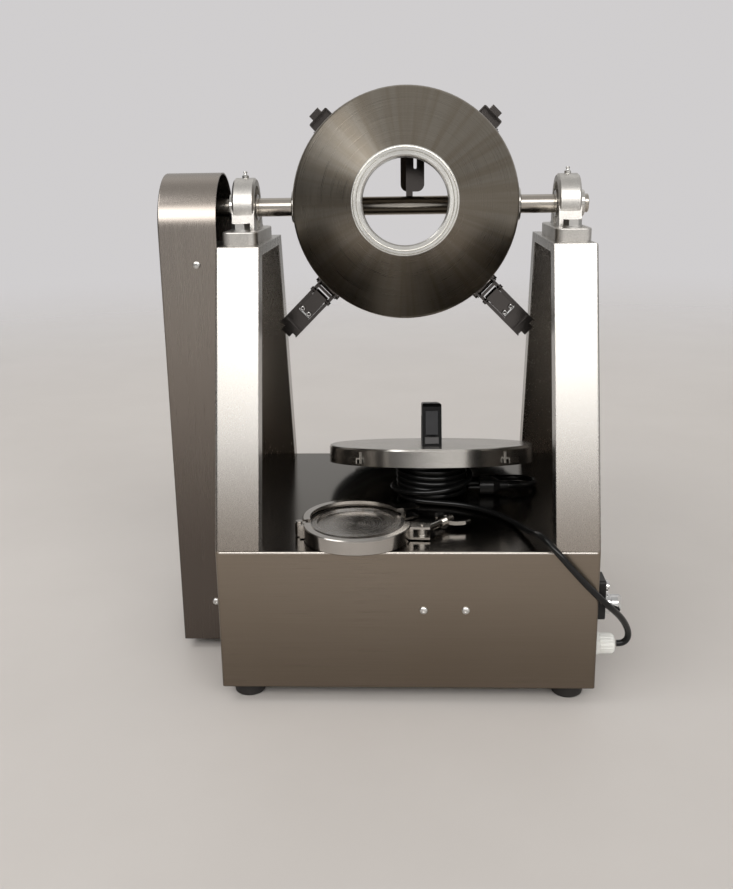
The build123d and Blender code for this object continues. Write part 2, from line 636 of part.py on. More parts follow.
# Pulleys and belt
def pulley(bore, hub_end):
    """Grooved pulley about Z, with its longer hub towards positive Z."""
    half = PULLEY_W / 2
    web = PULLEY_WEB_T / 2
    slope = math.tan(math.radians(BELT_ANGLE / 2))
    wide = BELT_W / 2 + RUNNING / math.cos(math.radians(BELT_ANGLE / 2))
    floor = PULLEY_R - BELT_H - GROOVE_FLOOR
    narrow = wide - (BELT_H + GROOVE_FLOOR) * slope
    points = [(bore, -half), (HUB_R, -half), (HUB_R, -web), (PULLEY_RIM_R, -web), (PULLEY_RIM_R, -half),
              (PULLEY_R - 0.6, -half), (PULLEY_R, 0.6 - half), (PULLEY_R, -wide), (floor, -narrow),
              (floor, narrow), (PULLEY_R, wide), (PULLEY_R, half - 0.6), (PULLEY_R - 0.6, half),
              (PULLEY_RIM_R, half), (PULLEY_RIM_R, web), (HUB_R, web), (HUB_R, hub_end - 1),
              (HUB_R - 1, hub_end), (bore, hub_end)]
    return turned(points)


def drum_pulley():
    return Pos(DRIVE_X, 0, AXIS_Z) * ALONG_X * pulley(SHAFT_R + SHAFT_FIT, 16)


def motor_pulley():
    return Pos(DRIVE_X, 0, MOTOR_Z) * ALONG_X * pulley(MOTOR_SHAFT_R + SHAFT_FIT, 14)


def drive_belt():
    """Closed belt of wedge section: a half turn round each pulley and two straight runs."""
    half = BELT_W / 2
    slim = half - BELT_H * math.tan(math.radians(BELT_ANGLE / 2))
    inner = PULLEY_R - BELT_H
    bend = turned([(inner, -slim), (PULLEY_R, -half), (PULLEY_R, half), (inner, slim)], 180)
    belt = Pos(DRIVE_X, 0, AXIS_Z) * ALONG_X * Rot(0, 0, 90) * bend
    belt += Pos(DRIVE_X, 0, MOTOR_Z) * ALONG_X * Rot(0, 0, -90) * bend
    for side in (-1, 1):
        belt += flat_z([(DRIVE_X - slim, side * inner), (DRIVE_X - half, side * PULLEY_R),
                        (DRIVE_X + half, side * PULLEY_R), (DRIVE_X + slim, side * inner)], MOTOR_Z, AXIS_Z)
    return belt


# Gearmotor on the left wall, its tail carried by a bracket from the front panel
def gearhead():
    body = Pos(MOTOR_FACE, 0, MOTOR_AXIS_Z) * Rot(0, 90, 0) * extrude(
        RectangleRounded(MOTOR_SIDE, MOTOR_SIDE, 7), GEARHEAD_L)
    boss = Pos(0, 0, MOTOR_Z) * ALONG_X * rod_z(GEAR_BOSS_R, MOTOR_FACE - 4.5, MOTOR_FACE)
    body = body + boss
    body -= Pos(0, 0, MOTOR_Z) * ALONG_X * rod_z(MOTOR_SHAFT_R + PIN_FIT, MOTOR_FACE - 10, MOTOR_FACE + 32)
    for y, z in gearhead_holes():
        body -= Pos(0, y, z) * ALONG_X * rod_z(GEAR_SCREW_R + SHAFT_FIT, MOTOR_FACE - 1, MOTOR_FACE + 14)
    return body


def gear_motor():
    start = MOTOR_FACE + GEARHEAD_L
    at = Pos(0, 0, MOTOR_AXIS_Z) * ALONG_X
    square = RectangleRounded(MOTOR_SIDE, MOTOR_SIDE, 7)
    flange = Pos(0, 0, start) * extrude(square, 9)
    barrel = rod_z(MOTOR_SIDE / 2 - 2, start + 9, MOTOR_TAIL - 32)
    bell = Pos(0, 0, MOTOR_TAIL - 32) * extrude(square, 14)
    cover = rod_z(MOTOR_SIDE / 2 - 3, MOTOR_TAIL - 18, MOTOR_TAIL)
    cover = fillet(cover.edges().group_by(Axis.Z)[-1], 5)
    motor = at * (flange + barrel + bell + cover)
    for y in (-30, 30):
        motor -= Pos(SHELF_SCREW_X, y, 0) * rod_z(PANEL_SCREW_R + SHAFT_FIT, SHELF_Z - 1, SHELF_Z + 9)
    return motor


def motor_bracket():
    x0 = MOTOR_TAIL - BRACKET_BACK
    x1 = MOTOR_TAIL + BRACKET_PAST
    y0 = -FRONT + SHEET
    wall = block(x0, x1, y0, y0 + SHEET, SHELF_Z - SHEET, PANEL_SCREW_Z + 16)
    shelf = block(x0, x1, y0, MOTOR_SIDE / 2 + 12, SHELF_Z - SHEET, SHELF_Z)
    lip = block(x0, x1, MOTOR_SIDE / 2 + 10, MOTOR_SIDE / 2 + 12, SHELF_Z - SHEET, SHELF_Z + 10)
    gusset = polygon_x([(y0, SHELF_Z - SHEET), (y0 + 60, SHELF_Z - SHEET), (y0, PANEL_SCREW_Z)], x1 - SHEET, x1)
    body = wall + shelf + lip + gusset
    for x in PANEL_SCREWS:
        body -= Pos(x, 0, PANEL_SCREW_Z) * Rot(90, 0, 0) * rod_z(PANEL_SCREW_R + FIT, -y0 - 9, -y0 + 9)
    for y in (-30, 30):
        body -= Pos(SHELF_SCREW_X, y, 0) * rod_z(PANEL_SCREW_R + FIT, SHELF_Z - 9, SHELF_Z + 9)
    return body


def motor_screws():
    panel = dome_screw_z(PANEL_SCREW_R, 12, 4.2, 2.6)
    nut = hex_z(8, -SHEET * 2 - 4, -SHEET * 2) - rod_z(PANEL_SCREW_R + SHAFT_FIT, -12, 0)
    pieces = []
    for x in PANEL_SCREWS:
        at = Pos(x, -FRONT, PANEL_SCREW_Z) * Rot(90, 0, 0)
        pieces += [at * panel, at * nut]
    cap = rod_z(5, 0, 6) - hex_z(5, 3, 7) + rod_z(GEAR_SCREW_R, -14, 0)
    for y, z in gearhead_holes():
        pieces.append(Pos(-SIDE, y, z) * Rot(0, -90, 0) * cap)
    under = hex_z(8, -SHEET - 4, -SHEET) + rod_z(PANEL_SCREW_R, -SHEET, 8)
    for y in (-30, 30):
        pieces.append(Pos(SHELF_SCREW_X, y, SHELF_Z) * under)
    return pieces


def motor_capacitor():
    can = Pos(MOTOR_TAIL + 30, 10, SHELF_Z + CAN_R + SHAFT_FIT) * Rot(90, 0, 0) * rod_z(CAN_R, 0, 68)
    return fillet(can.edges(), 1.5)


def motor_shaft():
    shaft = Pos(0, 0, MOTOR_Z) * ALONG_X * rod_z(MOTOR_SHAFT_R, DRIVE_X - 9, MOTOR_FACE + 30)
    return chamfer(shaft.edges(), 0.8)


# Belt guard: one folded cover, open towards the upright
def guard_cover():
    top = AXIS_Z - GUARD_DROP

    def outline(inset):
        half = GUARD_HALF - inset
        low = GUARD_BOTTOM + inset
        straight = Pos(0, 0) * make_face(Polyline((-half, low), (half, low), (half, top), (-half, top), close=True))
        return straight + Pos(0, top) * Circle(half)

    outer = Pos(GUARD_OUT, 0, 0) * extrude(Plane.YZ * outline(0), GUARD_IN - GUARD_OUT)
    outer = fillet(outer.edges().group_by(Axis.X)[0].filter_by(lambda e: e.center().Z > GUARD_BOTTOM + 1), 2)
    inner = Pos(GUARD_OUT + GUARD_SHEET, 0, 0) * extrude(Plane.YZ * outline(GUARD_SHEET), GUARD_IN - GUARD_OUT)
    cover = outer - inner
    for z in GUARD_SCREWS:
        cover -= Pos(GUARD_SCREW_X, 0, z) * Rot(90, 0, 0) * rod_z(PANEL_SCREW_R + FIT, -GUARD_HALF - 9, GUARD_HALF + 9)
    return cover


def guard_brackets():
    pieces = []
    for side in (-1, 1):
        for z, screw_z in zip(GUARD_TABS, GUARD_SCREWS):
            skin = GUARD_HALF - GUARD_SHEET
            low = z - GUARD_TAB_H / 2
            tab = block(-SIDE - GUARD_TAB_REACH - 4, -SIDE, skin - SHEET, skin, low, low + GUARD_TAB_H)
            tab += block(-SIDE - SHEET, -SIDE, GUARD_TAB_HALF - 7, skin, low, low + GUARD_TAB_H)
            tab -= Pos(GUARD_SCREW_X, 0, screw_z) * Rot(-90, 0, 0) * rod_z(PANEL_SCREW_R + FIT, 40, 80)
            tab -= Pos(-SIDE, GUARD_TAB_HALF, z) * ALONG_X * rod_z(TAB_SCREW_R + FIT, -9, 9)
            pieces.append(tab if side > 0 else mirror(tab, Plane.XZ))
    return pieces


def guard_screws():
    pieces = []
    button = dome_screw_z(PANEL_SCREW_R, 9, 4.2, 2.4)
    for side in (-1, 1):
        for z in GUARD_SCREWS:
            pieces.append(Pos(GUARD_SCREW_X, side * GUARD_HALF, z) * Rot(-90 * side, 0, 0) * button)
        for z in GUARD_TABS:
            pieces.append(Pos(-SIDE - SHEET, side * GUARD_TAB_HALF, z) * Rot(0, -90, 0) * button)
    return pieces


# Switch and cable gland on the right wall
def switch_plate():
    box = block(SIDE, SIDE + PLATE_X, SWITCH_Y - SWITCH_HALF, SWITCH_Y + SWITCH_HALF, SWITCH_LOW, SWITCH_HIGH)
    box = fillet(box.edges().filter_by(Axis.X), 3)
    box = fillet(box.edges().group_by(Axis.X)[-1], 1.2)
    box -= Pos(0, SWITCH_Y, SWITCH_Z) * ALONG_X * rod_z(KNOB_STEM_R + RUNNING, SIDE - 1, SIDE + 20)
    box -= Pos(0, SWITCH_Y, BUTTON_Z) * ALONG_X * rod_z(BUTTON_STEM_R + RUNNING, SIDE - 1, SIDE + 20)
    return box


def switch_collars():
    x0 = SIDE + PLATE_X
    big = Pos(0, SWITCH_Y, SWITCH_Z) * ALONG_X * pipe_z(COLLAR_R, KNOB_STEM_R + RUNNING, x0, x0 + COLLAR_T)
    big = chamfer(big.edges().group_by(Axis.X)[-1].sort_by(SortBy.LENGTH)[-1], 1.5)
    small = Pos(0, SWITCH_Y, BUTTON_Z) * ALONG_X * pipe_z(BUTTON_COLLAR_R, BUTTON_R + RUNNING, x0, x0 + 3)
    return [big, small]


def selector_knob():
    x0 = SIDE + PLATE_X + COLLAR_T + RUNNING
    x1 = SIDE + KNOB_END
    knob = ALONG_X * rod_z(KNOB_R, x0, x1)
    knob = fillet(knob.edges().group_by(Axis.X)[-1], 2)
    grip = block(x1 - 4, x1 + 1, -KNOB_R, KNOB_R, -KNOB_R, KNOB_R) - block(
        x1 - 5, x1 + 2, -2.2, 2.2, -KNOB_R - 1, KNOB_R + 1)
    stem = ALONG_X * rod_z(KNOB_STEM_R, SIDE - 8, x0 + 1)
    return Pos(0, SWITCH_Y, SWITCH_Z) * ((knob - grip) + stem)


def push_button():
    x0 = SIDE + PLATE_X
    cap = ALONG_X * rod_z(BUTTON_R, x0 + 2.0, x0 + 5.4)
    cap = fillet(cap.edges().group_by(Axis.X)[-1], 0.8)
    stem = ALONG_X * rod_z(BUTTON_STEM_R, SIDE - 8, x0 + 2.5)
    return Pos(0, SWITCH_Y, BUTTON_Z) * (cap + stem)


def gland_body():
    thread = rod_z(GLAND_THREAD_R, -9, 0)
    flange = rod_z(13, 0, 2.4)
    body = Pos(0, 0, 2.4) * hex_z(23, 0, 5.6)
    seat = rod_z(9.4, 8, 11)
    return Pos(SIDE, GLAND_Y, GLAND_Z) * ALONG_X * (thread + flange + body + seat)


def gland_nuts():
    dome = turned([(9.5, 8), (11.4, 8), (11.4, 19), (10.2, 22.5), (7.6, 25.5), (5.2, GLAND_END), (0, GLAND_END),
                   (0, 11.1), (9.5, 11.1)])
    lock = hex_z(25, -SHEET - 4.5, -SHEET) - rod_z(GLAND_THREAD_R + SHAFT_FIT, -20, 0)
    return [Pos(SIDE, GLAND_Y, GLAND_Z) * ALONG_X * p for p in (dome, lock)]


# Drum lid: shallow pan, gasket, keepers and handle, leaning on the coiled cord
def lid_pan():
    pan = turned([(0, LID_RIM - LID_SHEET), (LID_R - LID_SHEET, LID_RIM - LID_SHEET), (LID_R - LID_SHEET, 0),
                  (LID_R, 0), (LID_R, LID_RIM - 3), (LID_R - 0.9, LID_RIM - 0.9), (LID_R - 3, LID_RIM),
                  (0, LID_RIM)])
    for y in HANDLE_HOLES:
        pan -= Pos(0, y, 0) * rod_z(LID_SCREW_R + FIT, LID_RIM - 5, LID_RIM + 5)
    return LID_AT * pan


def lid_gasket():
    top = LID_RIM - LID_SHEET - SHAFT_FIT
    outer = LID_R - LID_SHEET - 0.1
    return LID_AT * turned([(outer - 9, top), (outer - 9, top - 3), (outer - 6.5, top - 5), (outer - 2, top - 5),
                            (outer, top - 3), (outer, top)])


def lid_handle():
    half = HANDLE_L / 2
    low = LID_RIM
    high = LID_RIM + HANDLE_H
    rail = polygon_x([(-half, low), (-half + 20, low), (-half + 26, high - 16), (half - 26, high - 16),
                      (half - 20, low), (half, low), (half - 7, high - 4), (half - 11, high), (-half + 11, high),
                      (-half + 7, high - 4)], -HANDLE_W / 2, HANDLE_W / 2)
    rail = fillet(rail.edges().filter_by(lambda e: e.length > 40 and abs(e.center().Z - high) < 0.5), 2.5)
    for y in (-1, 1):
        rail -= Pos(0, y * (half - 1.2), (low + high) / 2 + 1) * Rot(y * -8, 0, 0) * Box(9, 5, HANDLE_H - 22)
    for y in HANDLE_HOLES:
        rail -= Pos(0, y, 0) * rod_z(LID_SCREW_R + SHAFT_FIT, low - 1, low + 14)
    return LID_AT * rail


def lid_screws():
    under = LID_RIM - LID_SHEET
    screw = rod_z(5.2, under - 3.2, under) + rod_z(LID_SCREW_R, under, LID_RIM + 13)
    screw = screw - Pos(0, 0, under - 3.2) * hex_z(4, -1, 1.6)
    return [LID_AT * Pos(0, y, 0) * screw for y in HANDLE_HOLES]


def lid_keepers():
    profile = [(0, 3), (1.5, 3), (1.5, 8), (5.5, 8), (5.5, 3), (7, 3), (7, 9.5), (1.5, 9.5), (1.5, 16), (0, 16)]
    keeper = Rot(0, 0, 90) * polygon_x([(-y, z) for y, z in profile], -8, 8)
    return [LID_AT * Rot(0, 0, a) * Pos(LID_R + SHAFT_FIT, 0, 0) * keeper for a in LATCH_ANGLES]


# Cap, gasket and hinged clamp for the mouth
def cap_base():
    """Height at which the cap rests on the lower lips of the clamp."""
    return CLAMP_H / 2 - CAP_EDGE / 2 - CAP_PLAY - RIM_PLAY * math.tan(math.radians(FLANK)) + SEAT


def end_cap():
    slope = math.tan(math.radians(FLANK))
    top = CAP_EDGE + (FERRULE_R - LIP_R) * slope
    cap = turned([(0, 0), (FERRULE_R, 0), (FERRULE_R, CAP_EDGE), (LIP_R, top), (CAP_RECESS_R + 0.8, top),
                  (CAP_RECESS_R, top - CAP_RECESS), (0, top - CAP_RECESS)])
    return CLAMP_AT * Pos(0, 0, cap_base()) * cap


def cap_gasket():
    low = cap_base() - 1.7
    return CLAMP_AT * pipe_z(LIP_R - 0.5, TUBE_R - WALL, low, low + 1.68)


def clamp_section():
    """Half-ring section as radius and height: wall with two inward lips."""
    half = CAP_EDGE / 2 + CAP_PLAY
    mid = CLAMP_H / 2
    spread = half + (FERRULE_R + RIM_PLAY - LIP_R) * math.tan(math.radians(FLANK))
    return [(CLAMP_R, 1), (CLAMP_R, CLAMP_H - 1), (CLAMP_R - 1, CLAMP_H), (LIP_R, CLAMP_H), (LIP_R, mid + spread),
            (FERRULE_R + RIM_PLAY, mid + half), (FERRULE_R + 1.2, mid + half), (FERRULE_R + 1.2, mid - half),
            (FERRULE_R + RIM_PLAY, mid - half), (LIP_R, mid - spread), (LIP_R, 0), (CLAMP_R - 1, 0)]


def clamp_arc(start, sweep):
    return Rot(0, 0, start) * turned(clamp_section(), sweep)


def lug(angle):
    """Fork that holds the swing bolt: a web against the ring and two level plates."""
    web = block(CLAMP_R - 0.6, CLAMP_R + LUG_T, -LUG_W / 2, LUG_W / 2, LUG_LOW, LUG_HIGH)
    low = block(CLAMP_R - 0.6, CLAMP_R + LUG_REACH, -LUG_W / 2, LUG_W / 2, LUG_LOW, LUG_LOW + LUG_T)
    return Rot(0, 0, angle) * (web + low + Pos(0, 0, LUG_HIGH - LUG_LOW - LUG_T) * low)


def knuckle(low, high):
    at = Pos(HINGE_X, HINGE_Y, 0)
    arm = Rot(0, 0, CLAMP_HINGE) * block(CLAMP_R - 1.5, HINGE_R, -3.2, 3.2, low, high)
    return at * rod_z(4.6, low, high) + arm


def clamp_rear():
    arc = clamp_arc(CLAMP_SPLIT + 1.0, CLAMP_HINGE - 4 - CLAMP_SPLIT - 1.0)
    tongue = knuckle(CLAMP_H / 2 - 3, CLAMP_H / 2 + 3) + clamp_tail(1)
    body = arc + lug(LUG_REAR) + tongue
    body -= Pos(HINGE_X, HINGE_Y, 0) * rod_z(PIN_R + SHAFT_FIT, -1, CLAMP_H + 1)
    return CLAMP_AT * body


def clamp_tail(side):
    """Short bridge from the ring to the hinge, at mid height."""
    reach = Rot(0, 0, CLAMP_HINGE - side * 6) * block(CLAMP_R - 2.2, HINGE_R - 1, -5.0, 5.0,
                                                      CLAMP_H / 2 - 3, CLAMP_H / 2 + 3)
    return reach


def clamp_front():
    end = 360 + CLAMP_SPLIT - 1.0
    arc = clamp_arc(CLAMP_HINGE + 4, end - CLAMP_HINGE - 4)
    fork = knuckle(CLAMP_H / 2 + 3.3, CLAMP_H - 1) + knuckle(1, CLAMP_H / 2 - 3.3)
    side = Rot(0, 0, CLAMP_HINGE + 6) * block(CLAMP_R - 2.2, HINGE_R - 1, -5.0, 5.0, 1, CLAMP_H - 1)
    slot = Pos(HINGE_X, HINGE_Y, 0) * rod_z(HINGE_CLEAR_R, CLAMP_H / 2 - 3.3, CLAMP_H / 2 + 3.3)
    body = arc + lug(LUG_FRONT) + fork + (side - slot)
    body -= Pos(HINGE_X, HINGE_Y, 0) * rod_z(PIN_R + PIN_FIT, -1, CLAMP_H + 1)
    body -= swing_at() * rod_z(PIN_R + SHAFT_FIT, -1, CLAMP_H + 1)
    return FRONT_AT * body


def swing_at():
    angle = math.radians(LUG_FRONT)
    return Pos(LUG_R * math.cos(angle), LUG_R * math.sin(angle), 0)


def hinge_pin():
    pin = rod_z(PIN_R, 0, CLAMP_H) + rod_z(3.8, CLAMP_H - 0.8, CLAMP_H + 0.8)
    return CLAMP_AT * Pos(HINGE_X, HINGE_Y, 0) * pin


def lug_pin():
    pin = rod_z(PIN_R, 0.2, CLAMP_H - 0.2)
    return FRONT_AT * swing_at() * pin


def bolt_pose():
    """Swing bolt at its pin, its local X along the thread."""
    return FRONT_AT * swing_at() * Rot(0, 0, BOLT_DIR + CLAMP_OPEN)


def swing_bolt():
    mid = CLAMP_H / 2
    eye = rod_z(EYE_R, LUG_LOW + LUG_T + RUNNING, LUG_HIGH - LUG_T - RUNNING)
    thread = Pos(0, 0, mid) * ALONG_X * rod_z(SWING_R, 3, SWING_L)
    thread = chamfer(thread.edges().group_by(Axis.X)[-1], 0.8)
    return bolt_pose() * (eye + thread - rod_z(PIN_R + PIN_FIT, -1, CLAMP_H + 1))


def wing_nut():
    hub = turned([(SWING_R + PIN_FIT, 0), (7.6, 0), (7.6, 3), (6.4, 8), (5.8, 13), (SWING_R + PIN_FIT, 13)])
    wing = Plane.YZ * make_face(Polyline((5.6, 1.5), (14, 5), (21, 13), (22.5, 20), (19.5, 23), (13, 20), (8, 13),
                                         (5.2, 9), close=True))
    wing = Rot(0, 0, 90) * extrude(wing, 2.1, both=True)
    wing = fillet(wing.edges().filter_by(lambda e: e.center().Z > 16), 1.2)
    nut = hub + wing + Rot(0, 0, 180) * wing
    nut -= rod_z(SWING_R + PIN_FIT, -1, 14)
    return bolt_pose() * Pos(NUT_START, 0, CLAMP_H / 2) * ALONG_X * Rot(0, 0, 90) * nut


# Cord: from the gland round the front edge of the deck to a coil under the lid, and on to its plug
def cord_in():
    gland = [(SIDE + GLAND_END + x, GLAND_Y + y, GLAND_Z + z) for x, y, z in GLAND_RUN]
    corner = [(SIDE + x, y - FRONT, DECK + z) for x, y, z in CORNER_RUN]
    level = [(COIL_X + x, COIL_Y + y, DECK + CORD_LIFT) for x, y in COIL_RUN]
    return gland + corner + level


def cord_out():
    return [(COIL_X + x, COIL_Y + y, DECK + CORD_LIFT + z) for x, y, z in TAIL_RUN]


def cord_radii(points):
    radii = []
    for a, b, c in zip(points, points[1:], points[2:]):
        first = Vector(*b) - Vector(*a)
        second = Vector(*c) - Vector(*b)
        turn = first.get_angle(second)
        radii.append(0.45 * min(first.length, second.length) / math.tan(math.radians(turn / 2)))
    return radii


def cord_run(points, name):
    radii = cord_radii(points)
    path = FilletPolyline(*points, radius=radii)
    tube = sweep(Plane(origin=path @ 0, z_dir=path % 0) * Circle(CORD_R), path=path)
    print(name, "radii", [round(r, 1) for r in radii])
    print(name, "volume over section times length", round(tube.volume / (math.pi * CORD_R**2 * path.length), 5))
    return tube


def cord_coil():
    inner = COIL_MEAN - CORD_R
    outer = COIL_MEAN + CORD_R
    return Pos(COIL_X, COIL_Y, DECK) * turned([(inner, 1), (inner + 1, 0), (outer - 1, 0), (outer, 1),
                                               (outer, COIL_H - 1), (outer - 1, COIL_H), (inner + 1, COIL_H),
                                               (inner, COIL_H - 1)])


def plug():
    at = Pos(COIL_X + PLUG_X, COIL_Y + PLUG_Y, DECK + PLUG_LIFT)
    body = extrude(RectangleRounded(PLUG_H, PLUG_W, 7), PLUG_L - 8)
    taper = Pos(0, 0, PLUG_L - 8) * loft([RectangleRounded(PLUG_H, PLUG_W, 7).face(), Pos(0, 0, 8) * Circle(6).face()])
    relief = turned([(0, PLUG_L), (6, PLUG_L), (5, PLUG_L + RELIEF_L), (0, PLUG_L + RELIEF_L)])
    pins = Pos(0, 8, 0) * rod_z(2.2, -13, 0) + Pos(0, -8, 0) * rod_z(2.2, -13, 0)
    return at * ALONG_X * (body + taper + relief + pins)


# Every piece, in the order in which the machine is put together
save(base_shell(), "base_shell")
save(deck_plate(), "deck_plate")
save(rubber_feet(), "rubber_feet")
save(foot_screws(), "foot_screws")
save(upright(-1), "left_upright")
save(upright(1), "right_upright")
save(at_blocks(bearing_housing()), "bearing_housings")
save(at_blocks(bearing_outer_ring()), "bearing_outer_rings")
save(at_blocks(bearing_inner_ring()), "bearing_inner_rings")
save(at_blocks(set_screw_pair()), "set_screws")
save(at_blocks(grease_nipple()), "grease_nipples")
save(bearing_bolts(), "bearing_bolts")
save(bearing_washers(), "bearing_washers")
save(drive_shaft(), "drive_shaft")
save(drum_shell(), "drum_shell")
save(shaft_bosses(), "shaft_bosses")
save(mouth_ferrule(), "mouth_ferrule")
save(paddle(), "paddle")
save([latch_at(a) * latch_base() for a in LATCH_ANGLES], "latch_bases")
for number, angle in enumerate(LATCH_ANGLES, 1):
    save(latch_at(angle) * lever_pose(angle) * latch_lever(), "latch_lever_" + str(number))
    save(latch_at(angle) * lever_pose(angle) * latch_claw(), "latch_claw_" + str(number))
save(drum_pulley(), "drum_pulley")
save(motor_pulley(), "motor_pulley")
save(drive_belt(), "drive_belt")
save(gearhead(), "gearhead")
save(gear_motor(), "gear_motor")
save(motor_shaft(), "motor_shaft")
save(motor_bracket(), "motor_bracket")
save(motor_screws(), "motor_screws")
save(motor_capacitor(), "motor_capacitor")
save(guard_cover(), "guard_cover")
save(guard_brackets(), "guard_brackets")
save(guard_screws(), "guard_screws")
save(switch_plate(), "switch_plate")
save(switch_collars(), "switch_collars")
save(selector_knob(), "selector_knob")
save(push_button(), "push_button")
save(gland_body(), "gland_body")
save(gland_nuts(), "gland_nuts")
save(lid_pan(), "lid_pan")
save(lid_gasket(), "lid_gasket")
save(lid_handle(), "lid_handle")
save(lid_screws(), "lid_screws")
save(lid_keepers(), "lid_keepers")
save(end_cap(), "end_cap")
save(cap_gasket(), "cap_gasket")
save([clamp_rear(), hinge_pin()], "clamp_rear")
save([clamp_front(), lug_pin()], "clamp_front")
save(swing_bolt(), "swing_bolt")
save(wing_nut(), "wing_nut")
save(cord_run(cord_in(), "cord in"), "cord_tube")
save(cord_run(cord_out(), "cord out"), "cord_tail")
save(cord_coil(), "cord_coil")
save(plug(), "plug")
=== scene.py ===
import bmesh
import bpy
import math
from mathutils import Matrix, Vector


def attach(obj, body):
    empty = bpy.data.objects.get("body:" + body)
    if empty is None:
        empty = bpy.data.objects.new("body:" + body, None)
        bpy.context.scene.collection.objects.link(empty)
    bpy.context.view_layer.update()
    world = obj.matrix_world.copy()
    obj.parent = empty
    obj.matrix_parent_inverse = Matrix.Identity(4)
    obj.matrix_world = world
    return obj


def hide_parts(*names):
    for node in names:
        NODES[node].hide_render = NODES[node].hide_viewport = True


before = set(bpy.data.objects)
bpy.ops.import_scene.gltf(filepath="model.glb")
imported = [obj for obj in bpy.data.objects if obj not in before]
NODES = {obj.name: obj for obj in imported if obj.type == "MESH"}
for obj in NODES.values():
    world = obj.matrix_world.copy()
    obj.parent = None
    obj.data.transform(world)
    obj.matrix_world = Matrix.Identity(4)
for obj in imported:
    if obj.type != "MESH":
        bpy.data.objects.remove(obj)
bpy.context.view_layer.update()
MM = 0.001

# Camera of the photograph: its place in metres, its turns and its lens on a 36 mm sensor
EYE = (0.00482, -1.15768, 0.55019)
PITCH, YAW, ROLL = (math.radians(a) for a in (15.31, -2.58, 0.90))
LENS, SENSOR = 41.421, 36.0
NEAR, FAR = 0.05, 60.0


def make_camera():
    level = math.cos(PITCH)
    forward = Vector((math.sin(YAW) * level, math.cos(YAW) * level, -math.sin(PITCH)))
    right = Vector((math.cos(YAW), -math.sin(YAW), 0))
    down = forward.cross(right)
    across = right * math.cos(ROLL) + down * math.sin(ROLL)
    below = down * math.cos(ROLL) - right * math.sin(ROLL)
    data = bpy.data.cameras.new("camera")
    data.lens = LENS
    data.sensor_width = SENSOR
    data.clip_start = NEAR
    data.clip_end = FAR
    camera = bpy.data.objects.new("camera", data)
    turn = Matrix((across, -below, -forward)).transposed().to_4x4()
    camera.matrix_world = Matrix.Translation(EYE) @ turn
    bpy.context.scene.collection.objects.link(camera)
    bpy.context.scene.camera = camera


# Material node helpers
COLOUR_A, COLOUR_OUT = 6, 2
FINE_DEPTH, SAND_DEPTH = 0.0003, 0.0004
UPRIGHT_AXIS = 90.0
DUST_GREY = 0.32


